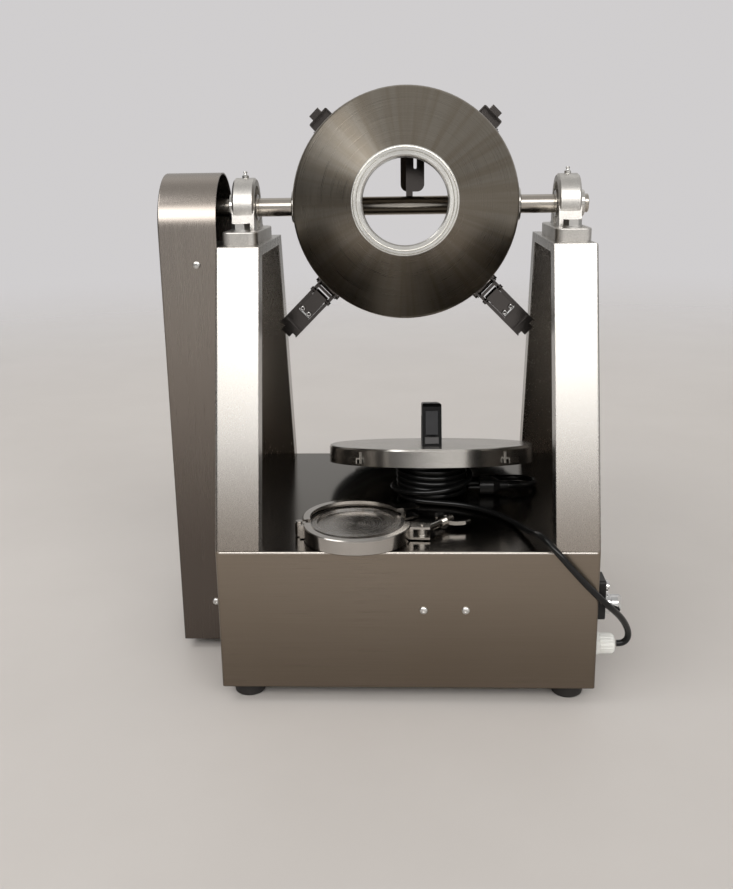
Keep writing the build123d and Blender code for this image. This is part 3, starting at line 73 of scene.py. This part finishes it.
class Graph:
    """A material's node tree with short ways to add nodes."""

    def __init__(self, name):
        self.material = bpy.data.materials.new(name)
        self.material.use_nodes = True
        self.tree = self.material.node_tree
        self.tree.nodes.clear()
        self.shader = self.add("ShaderNodeBsdfPrincipled")
        self.out = self.add("ShaderNodeOutputMaterial")
        self.link(self.shader.outputs["BSDF"], self.out.inputs["Surface"])

    def add(self, kind, **values):
        node = self.tree.nodes.new(kind)
        for key, value in values.items():
            setattr(node, key, value)
        return node

    def link(self, a, b):
        self.tree.links.new(a, b)

    def coords(self, scale=(1, 1, 1), place=(0, 0, 0)):
        """Object coordinates in metres, scaled and moved."""
        source = self.add("ShaderNodeTexCoord")
        mapping = self.add("ShaderNodeMapping")
        mapping.inputs["Scale"].default_value = scale
        mapping.inputs["Location"].default_value = place
        self.link(source.outputs["Object"], mapping.inputs["Vector"])
        return mapping.outputs["Vector"]

    def noise(self, vector, scale, detail=2.0, rough=0.5):
        node = self.add("ShaderNodeTexNoise")
        node.inputs["Scale"].default_value = scale
        node.inputs["Detail"].default_value = detail
        node.inputs["Roughness"].default_value = rough
        self.link(vector, node.inputs["Vector"])
        return node.outputs["Fac"]

    def parts(self, vector):
        node = self.add("ShaderNodeSeparateXYZ")
        self.link(vector, node.inputs["Vector"])
        return node.outputs

    def gather(self, *values):
        node = self.add("ShaderNodeCombineXYZ")
        for socket, value in zip(node.inputs, values):
            self.link(value, socket)
        return node.outputs["Vector"]

    def math(self, operation, a, b=None):
        node = self.add("ShaderNodeMath", operation=operation)
        for socket, value in zip(node.inputs, (a, b)):
            if value is None:
                continue
            if isinstance(value, (int, float)):
                socket.default_value = value
            else:
                self.link(value, socket)
        return node.outputs["Value"]

    def blend(self, a, b, share):
        """The first value's share and the rest of the second."""
        return self.math("ADD", self.math("MULTIPLY", a, share), self.math("MULTIPLY", b, 1 - share))

    def span(self, value, low, high, to_low, to_high, smooth=False):
        """The value, mapped from one range to another."""
        node = self.add("ShaderNodeMapRange", interpolation_type="SMOOTHSTEP" if smooth else "LINEAR")
        self.link(value, node.inputs["Value"])
        for key, number in zip(("From Min", "From Max", "To Min", "To Max"), (low, high, to_low, to_high)):
            node.inputs[key].default_value = number
        return node.outputs["Result"]

    def mix(self, factor, a, b, blend="MIX"):
        node = self.add("ShaderNodeMix", data_type="RGBA", blend_type=blend)
        if factor is None:
            node.inputs["Factor"].default_value = 1.0
        else:
            self.link(factor, node.inputs["Factor"])
        for socket, value in zip(node.inputs[COLOUR_A:], (a, b)):
            if isinstance(value, (tuple, list)):
                socket.default_value = (*value[:3], 1)
            else:
                self.link(value, socket)
        return node.outputs[COLOUR_OUT]

    def bump(self, height, strength, distance=FINE_DEPTH, bend=0.0):
        """Relief of the given depth in metres. A bend rounds the edges by its radius."""
        node = self.add("ShaderNodeBump")
        if bend:
            edge = self.add("ShaderNodeBevel", samples=4)
            edge.inputs["Radius"].default_value = bend
            self.link(edge.outputs["Normal"], node.inputs["Normal"])
        node.inputs["Strength"].default_value = strength
        node.inputs["Distance"].default_value = distance
        self.link(height, node.inputs["Height"])
        return node.outputs["Normal"]

    def set(self, **values):
        for key, value in values.items():
            self.shader.inputs[key.replace("_", " ")].default_value = value


def shade(colour, *factors):
    """The colour times one factor, or times one factor for each channel."""
    each = factors if len(factors) == 3 else factors * 3
    return tuple(min(1.0, c * k) for c, k in zip(colour, each))


def steel(name, colour, rough, grain, contrast=0.05, bump=0.04, painted_shade=None, smear=0.06, bend=0.0):
    """Brushed metal: fine grain lines, a slow cloud of tone and uneven gloss, with a fade of painted shade
    along one axis, darker towards its low end.
    """
    g = Graph(name)
    lines = g.noise(g.coords(grain), 1.0)
    wide = g.noise(g.coords(tuple(k * 0.3 for k in grain), (3.1, 1.7, 0.4)), 1.0)
    clouds = g.noise(g.coords(), 4.0, 3.0, 0.55)
    tone = g.blend(lines, wide, 0.75)
    fine = g.mix(g.span(tone, 0.3, 0.7, 0.0, 1.0), shade(colour, 1 - contrast), shade(colour, 1 + contrast))
    base = g.mix(g.span(clouds, 0.35, 0.75, 0.0, 0.5, True), fine, shade(colour, 0.90, 0.87, 0.83))
    # Painted shade: the colour darkens towards the low tint below the fade's start.
    if painted_shade:
        axis, start, end, low = painted_shade
        place = g.parts(g.coords())[axis]
        painted_dark = g.mix(g.span(place, start, end, 0.0, 1.0, True), low, (1, 1, 1))
        base = g.mix(None, base, painted_dark, "MULTIPLY")
    g.link(base, g.shader.inputs["Base Color"])
    uneven = g.blend(tone, clouds, 0.5)
    g.link(g.span(uneven, 0.3, 0.7, rough - smear, rough + smear), g.shader.inputs["Roughness"])
    g.link(g.bump(tone, bump, bend=bend), g.shader.inputs["Normal"])
    g.set(Metallic=1.0)
    return g.material


def turned_steel(name, colour, rough, aniso, contrast=0.08, centre=(0, 0, 0.506), tilt=4.0, pitch=900.0,
                 relief=0.10, painted_dark=0.7):
    """Metal spun about an axis: fine rings, a bow-tie sheen from the anisotropy, and painted sheen, dark
    sectors about the axis in the colour mixed with a slow random cloud of tone. The axis is Y, turned by the
    tilt about X.
    """
    g = Graph(name)
    shift = g.add("ShaderNodeVectorMath", operation="SUBTRACT")
    shift.inputs[1].default_value = centre
    g.link(g.coords(), shift.inputs[0])
    turn = g.add("ShaderNodeMapping")
    turn.inputs["Rotation"].default_value = (math.radians(tilt), 0, 0)
    g.link(shift.outputs["Vector"], turn.inputs["Vector"])
    x, y, z = g.parts(turn.outputs["Vector"])
    radius = g.math("SQRT", g.math("ADD", g.math("MULTIPLY", x, x), g.math("MULTIPLY", z, z)))
    angle = g.math("ARCTAN2", z, x)
    ring = [g.math("MULTIPLY", value, k) for value, k in ((radius, pitch), (y, pitch), (angle, 1.2))]
    lines = g.noise(g.gather(*ring), 1.0, 3.0, 0.6)
    # Painted sheen: light and dark sectors about the axis, blended with a random cloud of tone, darken the
    # colour.
    turns = (g.math("SINE", angle), 7.0), (g.math("COSINE", angle), 7.0), (radius, 3.0)
    fan = [g.math("MULTIPLY", value, k) for value, k in turns]
    rays = g.noise(g.gather(*fan), 1.6, 3.0, 0.6)
    clouds = g.noise(g.coords(), 7.0, 3.0, 0.55)
    fine = g.mix(g.span(lines, 0.3, 0.7, 0.0, 1.0), shade(colour, 1 - contrast), shade(colour, 1 + contrast))
    painted_sheen = g.span(g.blend(rays, clouds, 0.7), 0.38, 0.62, 0.0, painted_dark, True)
    g.link(g.mix(painted_sheen, fine, shade(colour, 0.80, 0.75, 0.68)), g.shader.inputs["Base Color"])
    g.link(g.span(lines, 0.3, 0.7, rough - 0.05, rough + 0.07), g.shader.inputs["Roughness"])
    g.link(g.bump(lines, relief), g.shader.inputs["Normal"])
    tangent = g.add("ShaderNodeTangent", direction_type="RADIAL", axis="Z" if tilt == UPRIGHT_AXIS else "Y")
    g.link(tangent.outputs["Tangent"], g.shader.inputs["Tangent"])
    g.set(Metallic=1.0, Anisotropic=aniso)
    return g.material


def polished(name, colour, rough, scuff=0.08):
    """Bright metal with faint scuffs and fingermarks."""
    g = Graph(name)
    clouds = g.noise(g.coords(), 38.0, 4.0, 0.6)
    pits = g.noise(g.coords(), 420.0, 2.0, 0.6)
    tone = g.mix(g.span(clouds, 0.3, 0.7, 0.0, 1.0), shade(colour, 0.86), colour)
    g.link(tone, g.shader.inputs["Base Color"])
    g.link(g.span(clouds, 0.3, 0.7, rough, rough + scuff), g.shader.inputs["Roughness"])
    g.link(g.bump(pits, 0.06, SAND_DEPTH), g.shader.inputs["Normal"])
    g.set(Metallic=1.0)
    return g.material


def cast_metal(name, colour, rough):
    """Cast surface: fine sand texture, darker in the pores."""
    g = Graph(name)
    sand = g.noise(g.coords(), 650.0, 3.0, 0.7)
    lumps = g.noise(g.coords(), 60.0, 3.0, 0.6)
    both = g.blend(sand, lumps, 0.6)
    g.link(g.mix(g.span(both, 0.35, 0.65, 0.0, 1.0), shade(colour, 0.78), shade(colour, 1.08)),
           g.shader.inputs["Base Color"])
    g.link(g.span(both, 0.3, 0.7, rough + 0.1, rough - 0.06), g.shader.inputs["Roughness"])
    g.link(g.bump(both, 0.35, SAND_DEPTH), g.shader.inputs["Normal"])
    g.set(Metallic=1.0)
    return g.material


def plastic(name, colour, rough, grain=500.0, bump=0.10, dust=0.0, gloss=0.5):
    """Moulded plastic or rubber with a fine skin and a little pale dust."""
    g = Graph(name)
    skin = g.noise(g.coords(), grain, 2.0, 0.6)
    marks = g.noise(g.coords(), 26.0, 4.0, 0.6)
    other = tuple(c * (1 - dust) + DUST_GREY * dust for c in colour) if dust else shade(colour, 0.82)
    g.link(g.mix(g.span(marks, 0.35, 0.75, 0.0, 1.0), colour, other), g.shader.inputs["Base Color"])
    g.link(g.span(marks, 0.3, 0.7, rough - 0.05, rough + 0.10), g.shader.inputs["Roughness"])
    g.link(g.bump(skin, bump), g.shader.inputs["Normal"])
    g.set(Specular_IOR_Level=gloss)
    return g.material


# Surfaces: a grain is the lines per metre along X, Y and Z, and a fade of painted shade, darker towards the
# bottom, is its axis, ends and low tint
CAP_CENTRE = (-0.055, -0.118, 0.17)
UPRIGHT_STEEL = steel("upright_steel", (0.42, 0.405, 0.385), 0.27, (1500, 1500, 14), 0.03, 0.012,
                      ("Z", 0.16, 0.30, (0.58, 0.53, 0.49)), smear=0.03, bend=0.0016)
# The base steel is darker and browner than the uprights' steel of the same sheet: a painted reflection of a
# dark brown floor.
BASE_STEEL = steel("base_steel", (0.235, 0.198, 0.160), 0.30, (12, 12, 1500), 0.06, 0.04,
                   ("Z", 0.02, 0.17, (0.62, 0.60, 0.58)), bend=0.0018)
# The deck steel is far darker than the uprights' steel: painted shade and painted reflection of the lid's
# dark underside.
DECK_STEEL = steel("deck_steel", (0.120, 0.108, 0.094), 0.18, (12, 1400, 1400), 0.04, 0.03)
GUARD_STEEL = steel("guard_steel", (0.34, 0.305, 0.275), 0.27, (1200, 1200, 12), 0.05, 0.03,
                    ("Z", 0.10, 0.50, (0.30, 0.28, 0.27)))
# The drum, ferrule and cap steel carry painted sheen in sectors about their axes.
DRUM_STEEL = turned_steel("drum_steel", (0.27, 0.243, 0.205), 0.30, 0.78, 0.10)
FERRULE_STEEL = turned_steel("ferrule_steel", (0.74, 0.73, 0.70), 0.24, 0.5, pitch=500.0, painted_dark=0.12)
CAP_STEEL = turned_steel("cap_steel", (0.34, 0.325, 0.31), 0.26, 0.75, 0.12, CAP_CENTRE, UPRIGHT_AXIS,
                         relief=0.15)
# The fold steel is far paler than the base steel it bends from: a painted highlight, on a rounded fold that
# also catches real light.
FOLD_STEEL = steel("fold_steel", (0.62, 0.59, 0.55), 0.24, (12, 1400, 1400), 0.04, 0.02)
LID_STEEL = steel("lid_steel", (0.52, 0.50, 0.47), 0.22, (10, 1300, 1300), 0.05, 0.03)
SHAFT_STEEL = steel("shaft_steel", (0.46, 0.43, 0.39), 0.20, (1500, 8, 8), 0.05, 0.04)
BRIGHT = polished("bright_steel", (0.66, 0.64, 0.61), 0.12)
LATCH_DARK = polished("latch_steel", (0.105, 0.095, 0.09), 0.12)
CLAMP_STEEL = polished("clamp_steel", (0.46, 0.435, 0.405), 0.13, 0.10)
CHROME = polished("chrome", (0.72, 0.72, 0.72), 0.08)
ZINC = polished("zinc_plate", (0.62, 0.61, 0.59), 0.26, 0.14)
HOUSING_CAST = cast_metal("housing_cast", (0.62, 0.60, 0.57), 0.34)
IRON = cast_metal("pulley_iron", (0.16, 0.145, 0.135), 0.42)
ALLOY = cast_metal("motor_alloy", (0.46, 0.46, 0.46), 0.42)
BLACK_STEEL = cast_metal("black_steel", (0.05, 0.05, 0.05), 0.40)
RUBBER = plastic("foot_rubber", (0.016, 0.014, 0.013), 0.62, 700, 0.18, dust=0.03, gloss=0.3)
BELT = plastic("belt_rubber", (0.018, 0.018, 0.018), 0.58, 900, 0.2, dust=0.05)
SILICONE = plastic("silicone", (0.78, 0.76, 0.72), 0.45, 400, 0.08)
HANDLE = plastic("handle_plastic", (0.003, 0.003, 0.003), 0.28, 900, 0.10, gloss=0.05)
PANEL_DARK = plastic("handle_panel", (0.022, 0.022, 0.024), 0.40, 900, 0.12, gloss=0.15)
PANEL_GREY = plastic("handle_foot", (0.060, 0.058, 0.058), 0.40, 900, 0.12, gloss=0.2)
SWITCH = plastic("switch_plastic", (0.010, 0.010, 0.010), 0.38, 900, 0.12, gloss=0.25)
GLAND = plastic("gland_nylon", (0.70, 0.70, 0.67), 0.42, 500, 0.08)
CORD = plastic("cord_sheath", (0.005, 0.005, 0.005), 0.16, 300, 0.03, gloss=0.30)
PLUG = plastic("plug_plastic", (0.008, 0.008, 0.008), 0.34, 800, 0.12, gloss=0.3)

FINISH = {
    "base_shell": BASE_STEEL, "deck_plate": DECK_STEEL, "rubber_feet": RUBBER, "foot_screws": ZINC,
    "left_upright": UPRIGHT_STEEL, "right_upright": UPRIGHT_STEEL, "bearing_housings": HOUSING_CAST,
    "bearing_outer_rings": BRIGHT, "bearing_inner_rings": BRIGHT, "set_screws": BLACK_STEEL,
    "grease_nipples": ZINC, "bearing_bolts": ZINC, "bearing_washers": ZINC, "drive_shaft": SHAFT_STEEL,
    # The paddle's near-black latch steel is painted shade: a steel blade that shows black against the light.
    "drum_shell": DRUM_STEEL, "shaft_bosses": BRIGHT, "mouth_ferrule": FERRULE_STEEL, "paddle": LATCH_DARK,
    "latch_bases": LATCH_DARK, "drum_pulley": IRON, "motor_pulley": IRON, "drive_belt": BELT,
    "gearhead": ALLOY, "gear_motor": ALLOY, "motor_shaft": SHAFT_STEEL, "motor_bracket": ZINC,
    "motor_screws": ZINC, "motor_capacitor": ALLOY, "guard_cover": GUARD_STEEL, "guard_brackets": ZINC,
    "guard_screws": ZINC, "switch_plate": SWITCH, "switch_collars": CHROME, "selector_knob": CHROME,
    "push_button": CHROME, "gland_body": GLAND, "gland_nuts": GLAND, "lid_pan": LID_STEEL,
    "lid_gasket": SILICONE, "lid_handle": HANDLE, "lid_screws": ZINC, "lid_keepers": BRIGHT,
    "end_cap": CAP_STEEL, "cap_gasket": SILICONE, "clamp_rear": CLAMP_STEEL, "clamp_front": CLAMP_STEEL,
    "swing_bolt": BRIGHT, "wing_nut": BRIGHT, "plug": PLUG,
}
for number in (1, 2, 3, 4):
    FINISH["latch_lever_%d" % number] = LATCH_DARK
    FINISH["latch_claw_%d" % number] = LATCH_DARK


def dress(piece, material):
    piece.data.materials.clear()
    piece.data.materials.append(material)


for node, material in FINISH.items():
    dress(NODES[node], material)


# Places and sizes that the part's source gives, in millimetres: the base, the gland, the latches and the lid
SIDE, FRONT, DECK = 196.0, 185.0, 170.0
GLAND_TIP = (223.0, -150.0, 53.0)
AXIS_Z, DRUM_TURN = 506.0, 86.0
LATCH_R, LATCH_Z, CLAW_PIVOT = 129.0, -58.0, 14.0
LATCH_TURNS = (45, 135, 225, 315)
LID_X, LID_Y, LID_R, LID_RIM, LID_TILT, LID_GAP = 29.5, 60.0, 125.0, 21.0, 12.03, 0.3
HANDLE_END, HANDLE_LEAN = 62.0, (7.0, 46.0)

# Cord: the route's points, with the turns of the coil between its two ends
COIL = (29.0, 2.5)
COIL_MEAN, CORD_R, CORD_LIFT = 38.5, 3.5, 3.7
GLAND_RUN = [(0, 0, 0), (5.3, 0, 0), (9.8, -0.6, 3.3), (11.7, -2, 8.3), (10.9, -4.5, 16.4), (6.5, -11, 27)]
CORNER_RUN = [(24.9, 14, -75.8), (10.4, 1, -59.3), (-9, -7, -38.8), (-28.4, -10, -16.4), (-46.9, -9, 5.1),
              (-58.5, 9, 14.5), (-68, 39, 8)]
COIL_RUN = [(87, -105.5), (66, -72.5), (34, -47.5)]
TAIL_RUN = [(31, 45.5, 0), (64, 52, 0), (90.7, 57.5, 0), (111.4, 57.5, 0.2), (126, 42.9, 1.8),
            (126, 22.1, 4.1), (111.4, 7.5, 5.6), (91, 7.5, 5.6)]
TURNS_UP, TURNS_DOWN, PER_TURN = 6, 1.5, 14
OUTER_WRAP, WRAP_RATE = 7.6, 2.5


def cord_points():
    points = [tuple(a + b for a, b in zip(GLAND_TIP, p)) for p in GLAND_RUN]
    points += [(SIDE + x, y - FRONT, DECK + z) for x, y, z in CORNER_RUN]
    points += [(COIL[0] + x, COIL[1] + y, DECK + CORD_LIFT) for x, y in COIL_RUN]
    swell = 2 / (1 + math.cos(math.pi / PER_TURN))
    rise = TURNS_UP * 2 * CORD_R
    for k in range(int((TURNS_UP + TURNS_DOWN) * PER_TURN) + 1):
        turns = k / PER_TURN
        down = max(0.0, turns - TURNS_UP)
        radius = (COIL_MEAN + OUTER_WRAP * min(1.0, down * WRAP_RATE)) * swell
        height = turns * 2 * CORD_R if not down else rise * (1 - down / TURNS_DOWN)
        angle = -math.pi / 2 - turns * 2 * math.pi
        points.append((COIL[0] + radius * math.cos(angle), COIL[1] + radius * math.sin(angle),
                       DECK + CORD_LIFT + height))
    points += [(COIL[0] + x, COIL[1] + y, DECK + CORD_LIFT + z) for x, y, z in TAIL_RUN]
    return points


def make_cord():
    data = bpy.data.curves.new("power_cord", "CURVE")
    data.dimensions = "3D"
    points = cord_points()
    line = data.splines.new("NURBS")
    line.points.add(len(points) - 1)
    for point, place in zip(line.points, points):
        point.co = (*(c * MM for c in place), 1)
    line.order_u = 3
    line.use_endpoint_u = True
    line.resolution_u = 6
    data.bevel_depth = CORD_R * MM
    data.bevel_resolution = 4
    data.use_fill_caps = True
    piece = bpy.data.objects.new("power_cord", data)
    bpy.context.scene.collection.objects.link(piece)
    data.materials.append(CORD)
    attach(piece, "frame")
    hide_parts("cord_tube", "cord_tail", "cord_coil")


# Mesh pieces, their outlines and corners in millimetres
CAP_NUT = [(9.5, 8), (11.2, 8), (11.4, 9), (11.4, 19), (10.9, 22), (9.2, 24), (6.4, 24.6), (3.9, 24.2),
           (3.9, 12), (9.5, 11.1)]
LOCK_NUT = [(8.2, -6), (12.2, -6), (12.6, -5.2), (12.6, -2.4), (12.2, -1.6), (8.2, -1.6)]
KNUCKLE = [(2.6, -11.1), (3.9, -11.1), (4.2, -10.8), (4.2, 10.8), (3.9, 11.1), (2.6, 11.1)]
BEAD = [(1.2, -1.3), (2.6, -1.2), (3.4, 0), (2.6, 1.2), (1.2, 1.3)]
BEAD_X, BEAD_Y, BEAD_Z = 4.9, -5.7, 24.6
FOLD_HALF, FOLD_IN = SIDE - 2.5, 1.2
FOLD = [(0.3, -FOLD_HALF), (1.2, 0.6 - FOLD_HALF), (1.5, 2 - FOLD_HALF), (1.5, FOLD_HALF - 2),
        (1.2, FOLD_HALF - 0.6), (0.3, FOLD_HALF)]
HANDLE_PANELS = (("handle_panel_top", (-7.4, -0.6, 13), (7.4, 0.8, 41.5), PANEL_DARK),
                 ("handle_panel_low", (-8.2, -0.6, 2.5), (8.2, 0.8, 10.5), PANEL_GREY))


def move(x, y, z):
    return Matrix.Translation((x * MM, y * MM, z * MM))


def spin(degrees, axis):
    return Matrix.Rotation(math.radians(degrees), 4, axis)


def settle(piece, place, material, body):
    piece.matrix_world = place
    dress(piece, material)
    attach(piece, body)


def new_piece(name, mesh):
    data = bpy.data.meshes.new(name)
    mesh.to_mesh(data)
    mesh.free()
    piece = bpy.data.objects.new(name, data)
    bpy.context.scene.collection.objects.link(piece)
    return piece


def turned_mesh(name, outline, sides, ribs=0, rib=0.0, low=0.0, high=0.0):
    """A closed ring about Z from (radius, height) pairs, fluted by the rib between two heights."""
    mesh = bmesh.new()
    rings = []
    for radius, height in outline:
        ring = []
        for k in range(sides):
            angle = 2 * math.pi * k / sides
            wave = rib * (0.5 + 0.5 * math.cos(ribs * angle)) if low <= height <= high else 0.0
            reach = (radius - wave) * MM
            ring.append(mesh.verts.new((reach * math.cos(angle), reach * math.sin(angle), height * MM)))
        rings.append(ring)
    for a, b in zip(rings, rings[1:] + rings[:1]):
        for k in range(sides):
            mesh.faces.new((a[k], a[(k + 1) % sides], b[(k + 1) % sides], b[k]))
    bmesh.ops.recalc_face_normals(mesh, faces=mesh.faces)
    piece = new_piece(name, mesh)
    piece.data.shade_smooth()
    return piece


def box_mesh(name, low, high, bevel):
    """A block between two corners with softened edges."""
    mesh = bmesh.new()
    bmesh.ops.create_cube(mesh, size=1.0)
    for vert in mesh.verts:
        vert.co = [(a + b) / 2 * MM + c * (b - a) * MM for a, b, c in zip(low, high, vert.co)]
    bmesh.ops.bevel(mesh, geom=mesh.edges[:], offset=bevel * MM, segments=3, profile=0.5, affect="EDGES")
    return new_piece(name, mesh)


def gland_dome():
    """The gland's cap nut, fluted, with a nearly flat end, and its lock nut inside the wall."""
    dome = turned_mesh("gland_cap_nut", CAP_NUT, 120, ribs=20, rib=0.9, low=8.5, high=22.5)
    lock = turned_mesh("gland_lock_nut", LOCK_NUT, 96, ribs=6, rib=1.4, low=-6.5, high=0)
    for piece in (dome, lock):
        settle(piece, move(SIDE, *GLAND_TIP[1:]) @ spin(90, "Y"), GLAND, "frame")
    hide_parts("gland_nuts")


def latch_details(number, turn, opened):
    """A hinge knuckle on the drum, cross pieces in the lever and a lining with a bright lip on the claw."""
    base = move(0, 0, AXIS_Z) @ spin(DRUM_TURN, "X") @ spin(turn - 90, "Z") @ move(0, LATCH_R, LATCH_Z)
    lever = base @ spin(-90 if opened else 0, "X")
    claw = lever @ move(0, 0, CLAW_PIVOT)
    knuckle = turned_mesh("hinge_knuckle_%d" % number, KNUCKLE, 40)
    settle(knuckle, base @ spin(90, "Y"), LATCH_DARK, "drum")
    lever_body, claw_body = "lever_%d" % number, "claw_%d" % number
    blocks = (("hinge_tongue", (-8.8, -7.0, -2.2), (8.8, -3.4, 2.2), 0.4, base, "drum", LATCH_DARK),
              ("latch_web", (-11.5, -0.8, 4.7), (11.5, 0.8, 8.1), 0.3, lever, lever_body, LATCH_DARK),
              ("claw_lining", (-8.9, -3.0, 5.2), (8.9, -2.3, 30.5), 0.2, claw, claw_body, LATCH_DARK),
              ("latch_rib", (-11.5, -4.2, 60.0), (11.5, 3.8, 61.4), 0.3, lever, lever_body, LATCH_DARK),
              ("claw_lip", (-8.0, -6.2, 26.6), (8.0, -5.0, 28.6), 0.5, claw, claw_body, CHROME))
    for name, low, high, bevel, place, body, material in blocks:
        settle(box_mesh("%s_%d" % (name, number), low, high, bevel), place, material, body)
    for side, x in (("a", -BEAD_X), ("b", BEAD_X)):
        bead = turned_mesh("claw_bead_%d%s" % (number, side), BEAD, 32)
        settle(bead, claw @ move(x, BEAD_Y, BEAD_Z) @ spin(90, "X"), CHROME, claw_body)


def handle_panels():
    """Two moulded panels on the handle's front end, which leans back."""
    rise = LID_R * math.sin(math.radians(LID_TILT))
    lid = move(LID_X, LID_Y, DECK + LID_GAP + rise) @ spin(-LID_TILT, "X")
    lean = math.degrees(math.atan2(*HANDLE_LEAN))
    face = lid @ move(0, -HANDLE_END, LID_RIM) @ spin(-lean, "X")
    for name, low, high, material in HANDLE_PANELS:
        settle(box_mesh(name, low, high, 0.5), face, material, "lid")


def deck_fold():
    """The rounded fold along the top front edge of the base, in paler steel than the base: a painted
    highlight.
    """
    place = move(0, FOLD_IN - FRONT, DECK - FOLD_IN) @ spin(90, "Y")
    settle(turned_mesh("deck_fold", FOLD, 32), place, FOLD_STEEL, "frame")


# Floor, room and lamp, in metres. The room's bands are steps of a direction's X, Y or Z.
FLOOR_HALF, FLOOR_Z = 9.0, -0.0003
FADE_FROM, FADE_TO = 0.9, 4.5
WALL, CEILING, WINDOW, FRONT_BAND, GROUND, RIGHT_SIDE, AIR = 0.46, 0.45, 5.0, 0.72, 0.36, 0.30, 0.10
ROOM_TINT = (1.0, 0.985, 0.965, 1)
BACKDROP = (0.63, 0.615, 0.62, 1)
LAMP_AT, LAMP_AIM, LAMP_SIDE, LAMP_POWER = (-1.3, -0.6, 1.9), (0, 0, 0.3), 1.0, 9.0


def make_stage():
    """A pale floor that fades out far from the object, so that it meets the backdrop without a line."""
    mesh = bpy.data.meshes.new("floor")
    corners = [(x * FLOOR_HALF, y * FLOOR_HALF, 0) for x, y in ((-1, -1), (1, -1), (1, 1), (-1, 1))]
    mesh.from_pydata(corners, [], [(0, 1, 2, 3)])
    floor = bpy.data.objects.new("floor", mesh)
    floor.location.z = FLOOR_Z
    bpy.context.scene.collection.objects.link(floor)
    g = Graph("floor")
    tone = g.noise(g.coords(), 3.0, 4.0, 0.6)
    g.link(g.mix(g.span(tone, 0.3, 0.7, 0.0, 1.0), (0.545, 0.515, 0.49), (0.575, 0.545, 0.52)),
           g.shader.inputs["Base Color"])
    g.set(Roughness=0.55)
    away = g.add("ShaderNodeVectorMath", operation="LENGTH")
    g.link(g.coords(), away.inputs[0])
    clear = g.add("ShaderNodeBsdfTransparent")
    blend = g.add("ShaderNodeMixShader")
    g.link(g.span(away.outputs["Value"], FADE_FROM, FADE_TO, 0.0, 1.0, True), blend.inputs["Fac"])
    g.link(g.shader.outputs["BSDF"], blend.inputs[1])
    g.link(clear.outputs["BSDF"], blend.inputs[2])
    g.link(blend.outputs["Shader"], g.out.inputs["Surface"])
    mesh.materials.append(g.material)


def make_world():
    """A pale room: a wall behind the machine, a soft ceiling, a high window in front and a dim left side."""
    world = bpy.data.worlds.new("room")
    bpy.context.scene.world = world
    world.use_nodes = True
    tree = world.node_tree
    tree.nodes.clear()

    def add(kind, **values):
        node = tree.nodes.new(kind)
        for key, value in values.items():
            setattr(node, key, value)
        return node

    def calc(operation, a, b):
        node = add("ShaderNodeMath", operation=operation)
        for socket, value in zip(node.inputs, (a, b)):
            if isinstance(value, (int, float)):
                socket.default_value = value
            else:
                tree.links.new(value, socket)
        return node.outputs["Value"]

    def step(value, low, high, top=1.0):
        node = add("ShaderNodeMapRange", interpolation_type="SMOOTHSTEP")
        tree.links.new(value, node.inputs["Value"])
        node.inputs["From Min"].default_value = low
        node.inputs["From Max"].default_value = high
        node.inputs["To Max"].default_value = top
        return node.outputs["Result"]

    source = add("ShaderNodeTexCoord")
    parts = add("ShaderNodeSeparateXYZ")
    tree.links.new(source.outputs["Generated"], parts.inputs["Vector"])
    x, y, z = (parts.outputs[k] for k in "XYZ")
    toward = calc("MULTIPLY", y, -1.0)
    above = step(z, -0.1, 0.1)
    wall = calc("MULTIPLY", step(y, 0.15, 0.75, WALL), above)
    ceiling = step(z, 0.45, 0.95, CEILING)
    window = calc("MULTIPLY", step(toward, 0.35, 0.75, WINDOW), step(z, 0.29, 0.43))
    window = calc("MULTIPLY", window, calc("SUBTRACT", 1.0, step(z, 0.62, 0.80)))
    front = calc("MULTIPLY", step(toward, -0.10, 0.45), calc("SUBTRACT", 1.0, step(z, 0.16, 0.34)))
    front = calc("MULTIPLY", calc("MULTIPLY", front, step(z, -0.16, -0.04)), step(x, -0.75, 0.35, FRONT_BAND))
    ground = calc("SUBTRACT", GROUND, step(z, -0.14, 0.0, GROUND))
    right = calc("MULTIPLY", step(x, 0.45, 0.90, RIGHT_SIDE), above)
    total = AIR
    for band in (wall, ceiling, window, front, ground, right):
        total = calc("ADD", total, band)
    light = add("ShaderNodeBackground")
    light.inputs["Color"].default_value = ROOM_TINT
    tree.links.new(total, light.inputs["Strength"])
    backdrop = add("ShaderNodeBackground")
    backdrop.inputs["Color"].default_value = BACKDROP
    path = add("ShaderNodeLightPath")
    mix = add("ShaderNodeMixShader")
    tree.links.new(path.outputs["Is Camera Ray"], mix.inputs["Fac"])
    tree.links.new(light.outputs["Background"], mix.inputs[1])
    tree.links.new(backdrop.outputs["Background"], mix.inputs[2])
    out = add("ShaderNodeOutputWorld")
    tree.links.new(mix.outputs["Shader"], out.inputs["Surface"])


def make_lamp():
    data = bpy.data.lights.new("softbox", "AREA")
    data.shape = "RECTANGLE"
    data.size = data.size_y = LAMP_SIDE
    data.energy = LAMP_POWER
    lamp = bpy.data.objects.new("softbox", data)
    lamp.location = LAMP_AT
    lamp.rotation_euler = (Vector(LAMP_AIM) - Vector(LAMP_AT)).to_track_quat("-Z", "Y").to_euler()
    bpy.context.scene.collection.objects.link(lamp)


make_camera()
make_cord()
gland_dome()
handle_panels()
deck_fold()
for number, turn in enumerate(LATCH_TURNS, 1):
    latch_details(number, turn, turn > 180)
make_stage()
make_world()
make_lamp()

scene = bpy.context.scene
scene.view_settings.view_transform = "Standard"
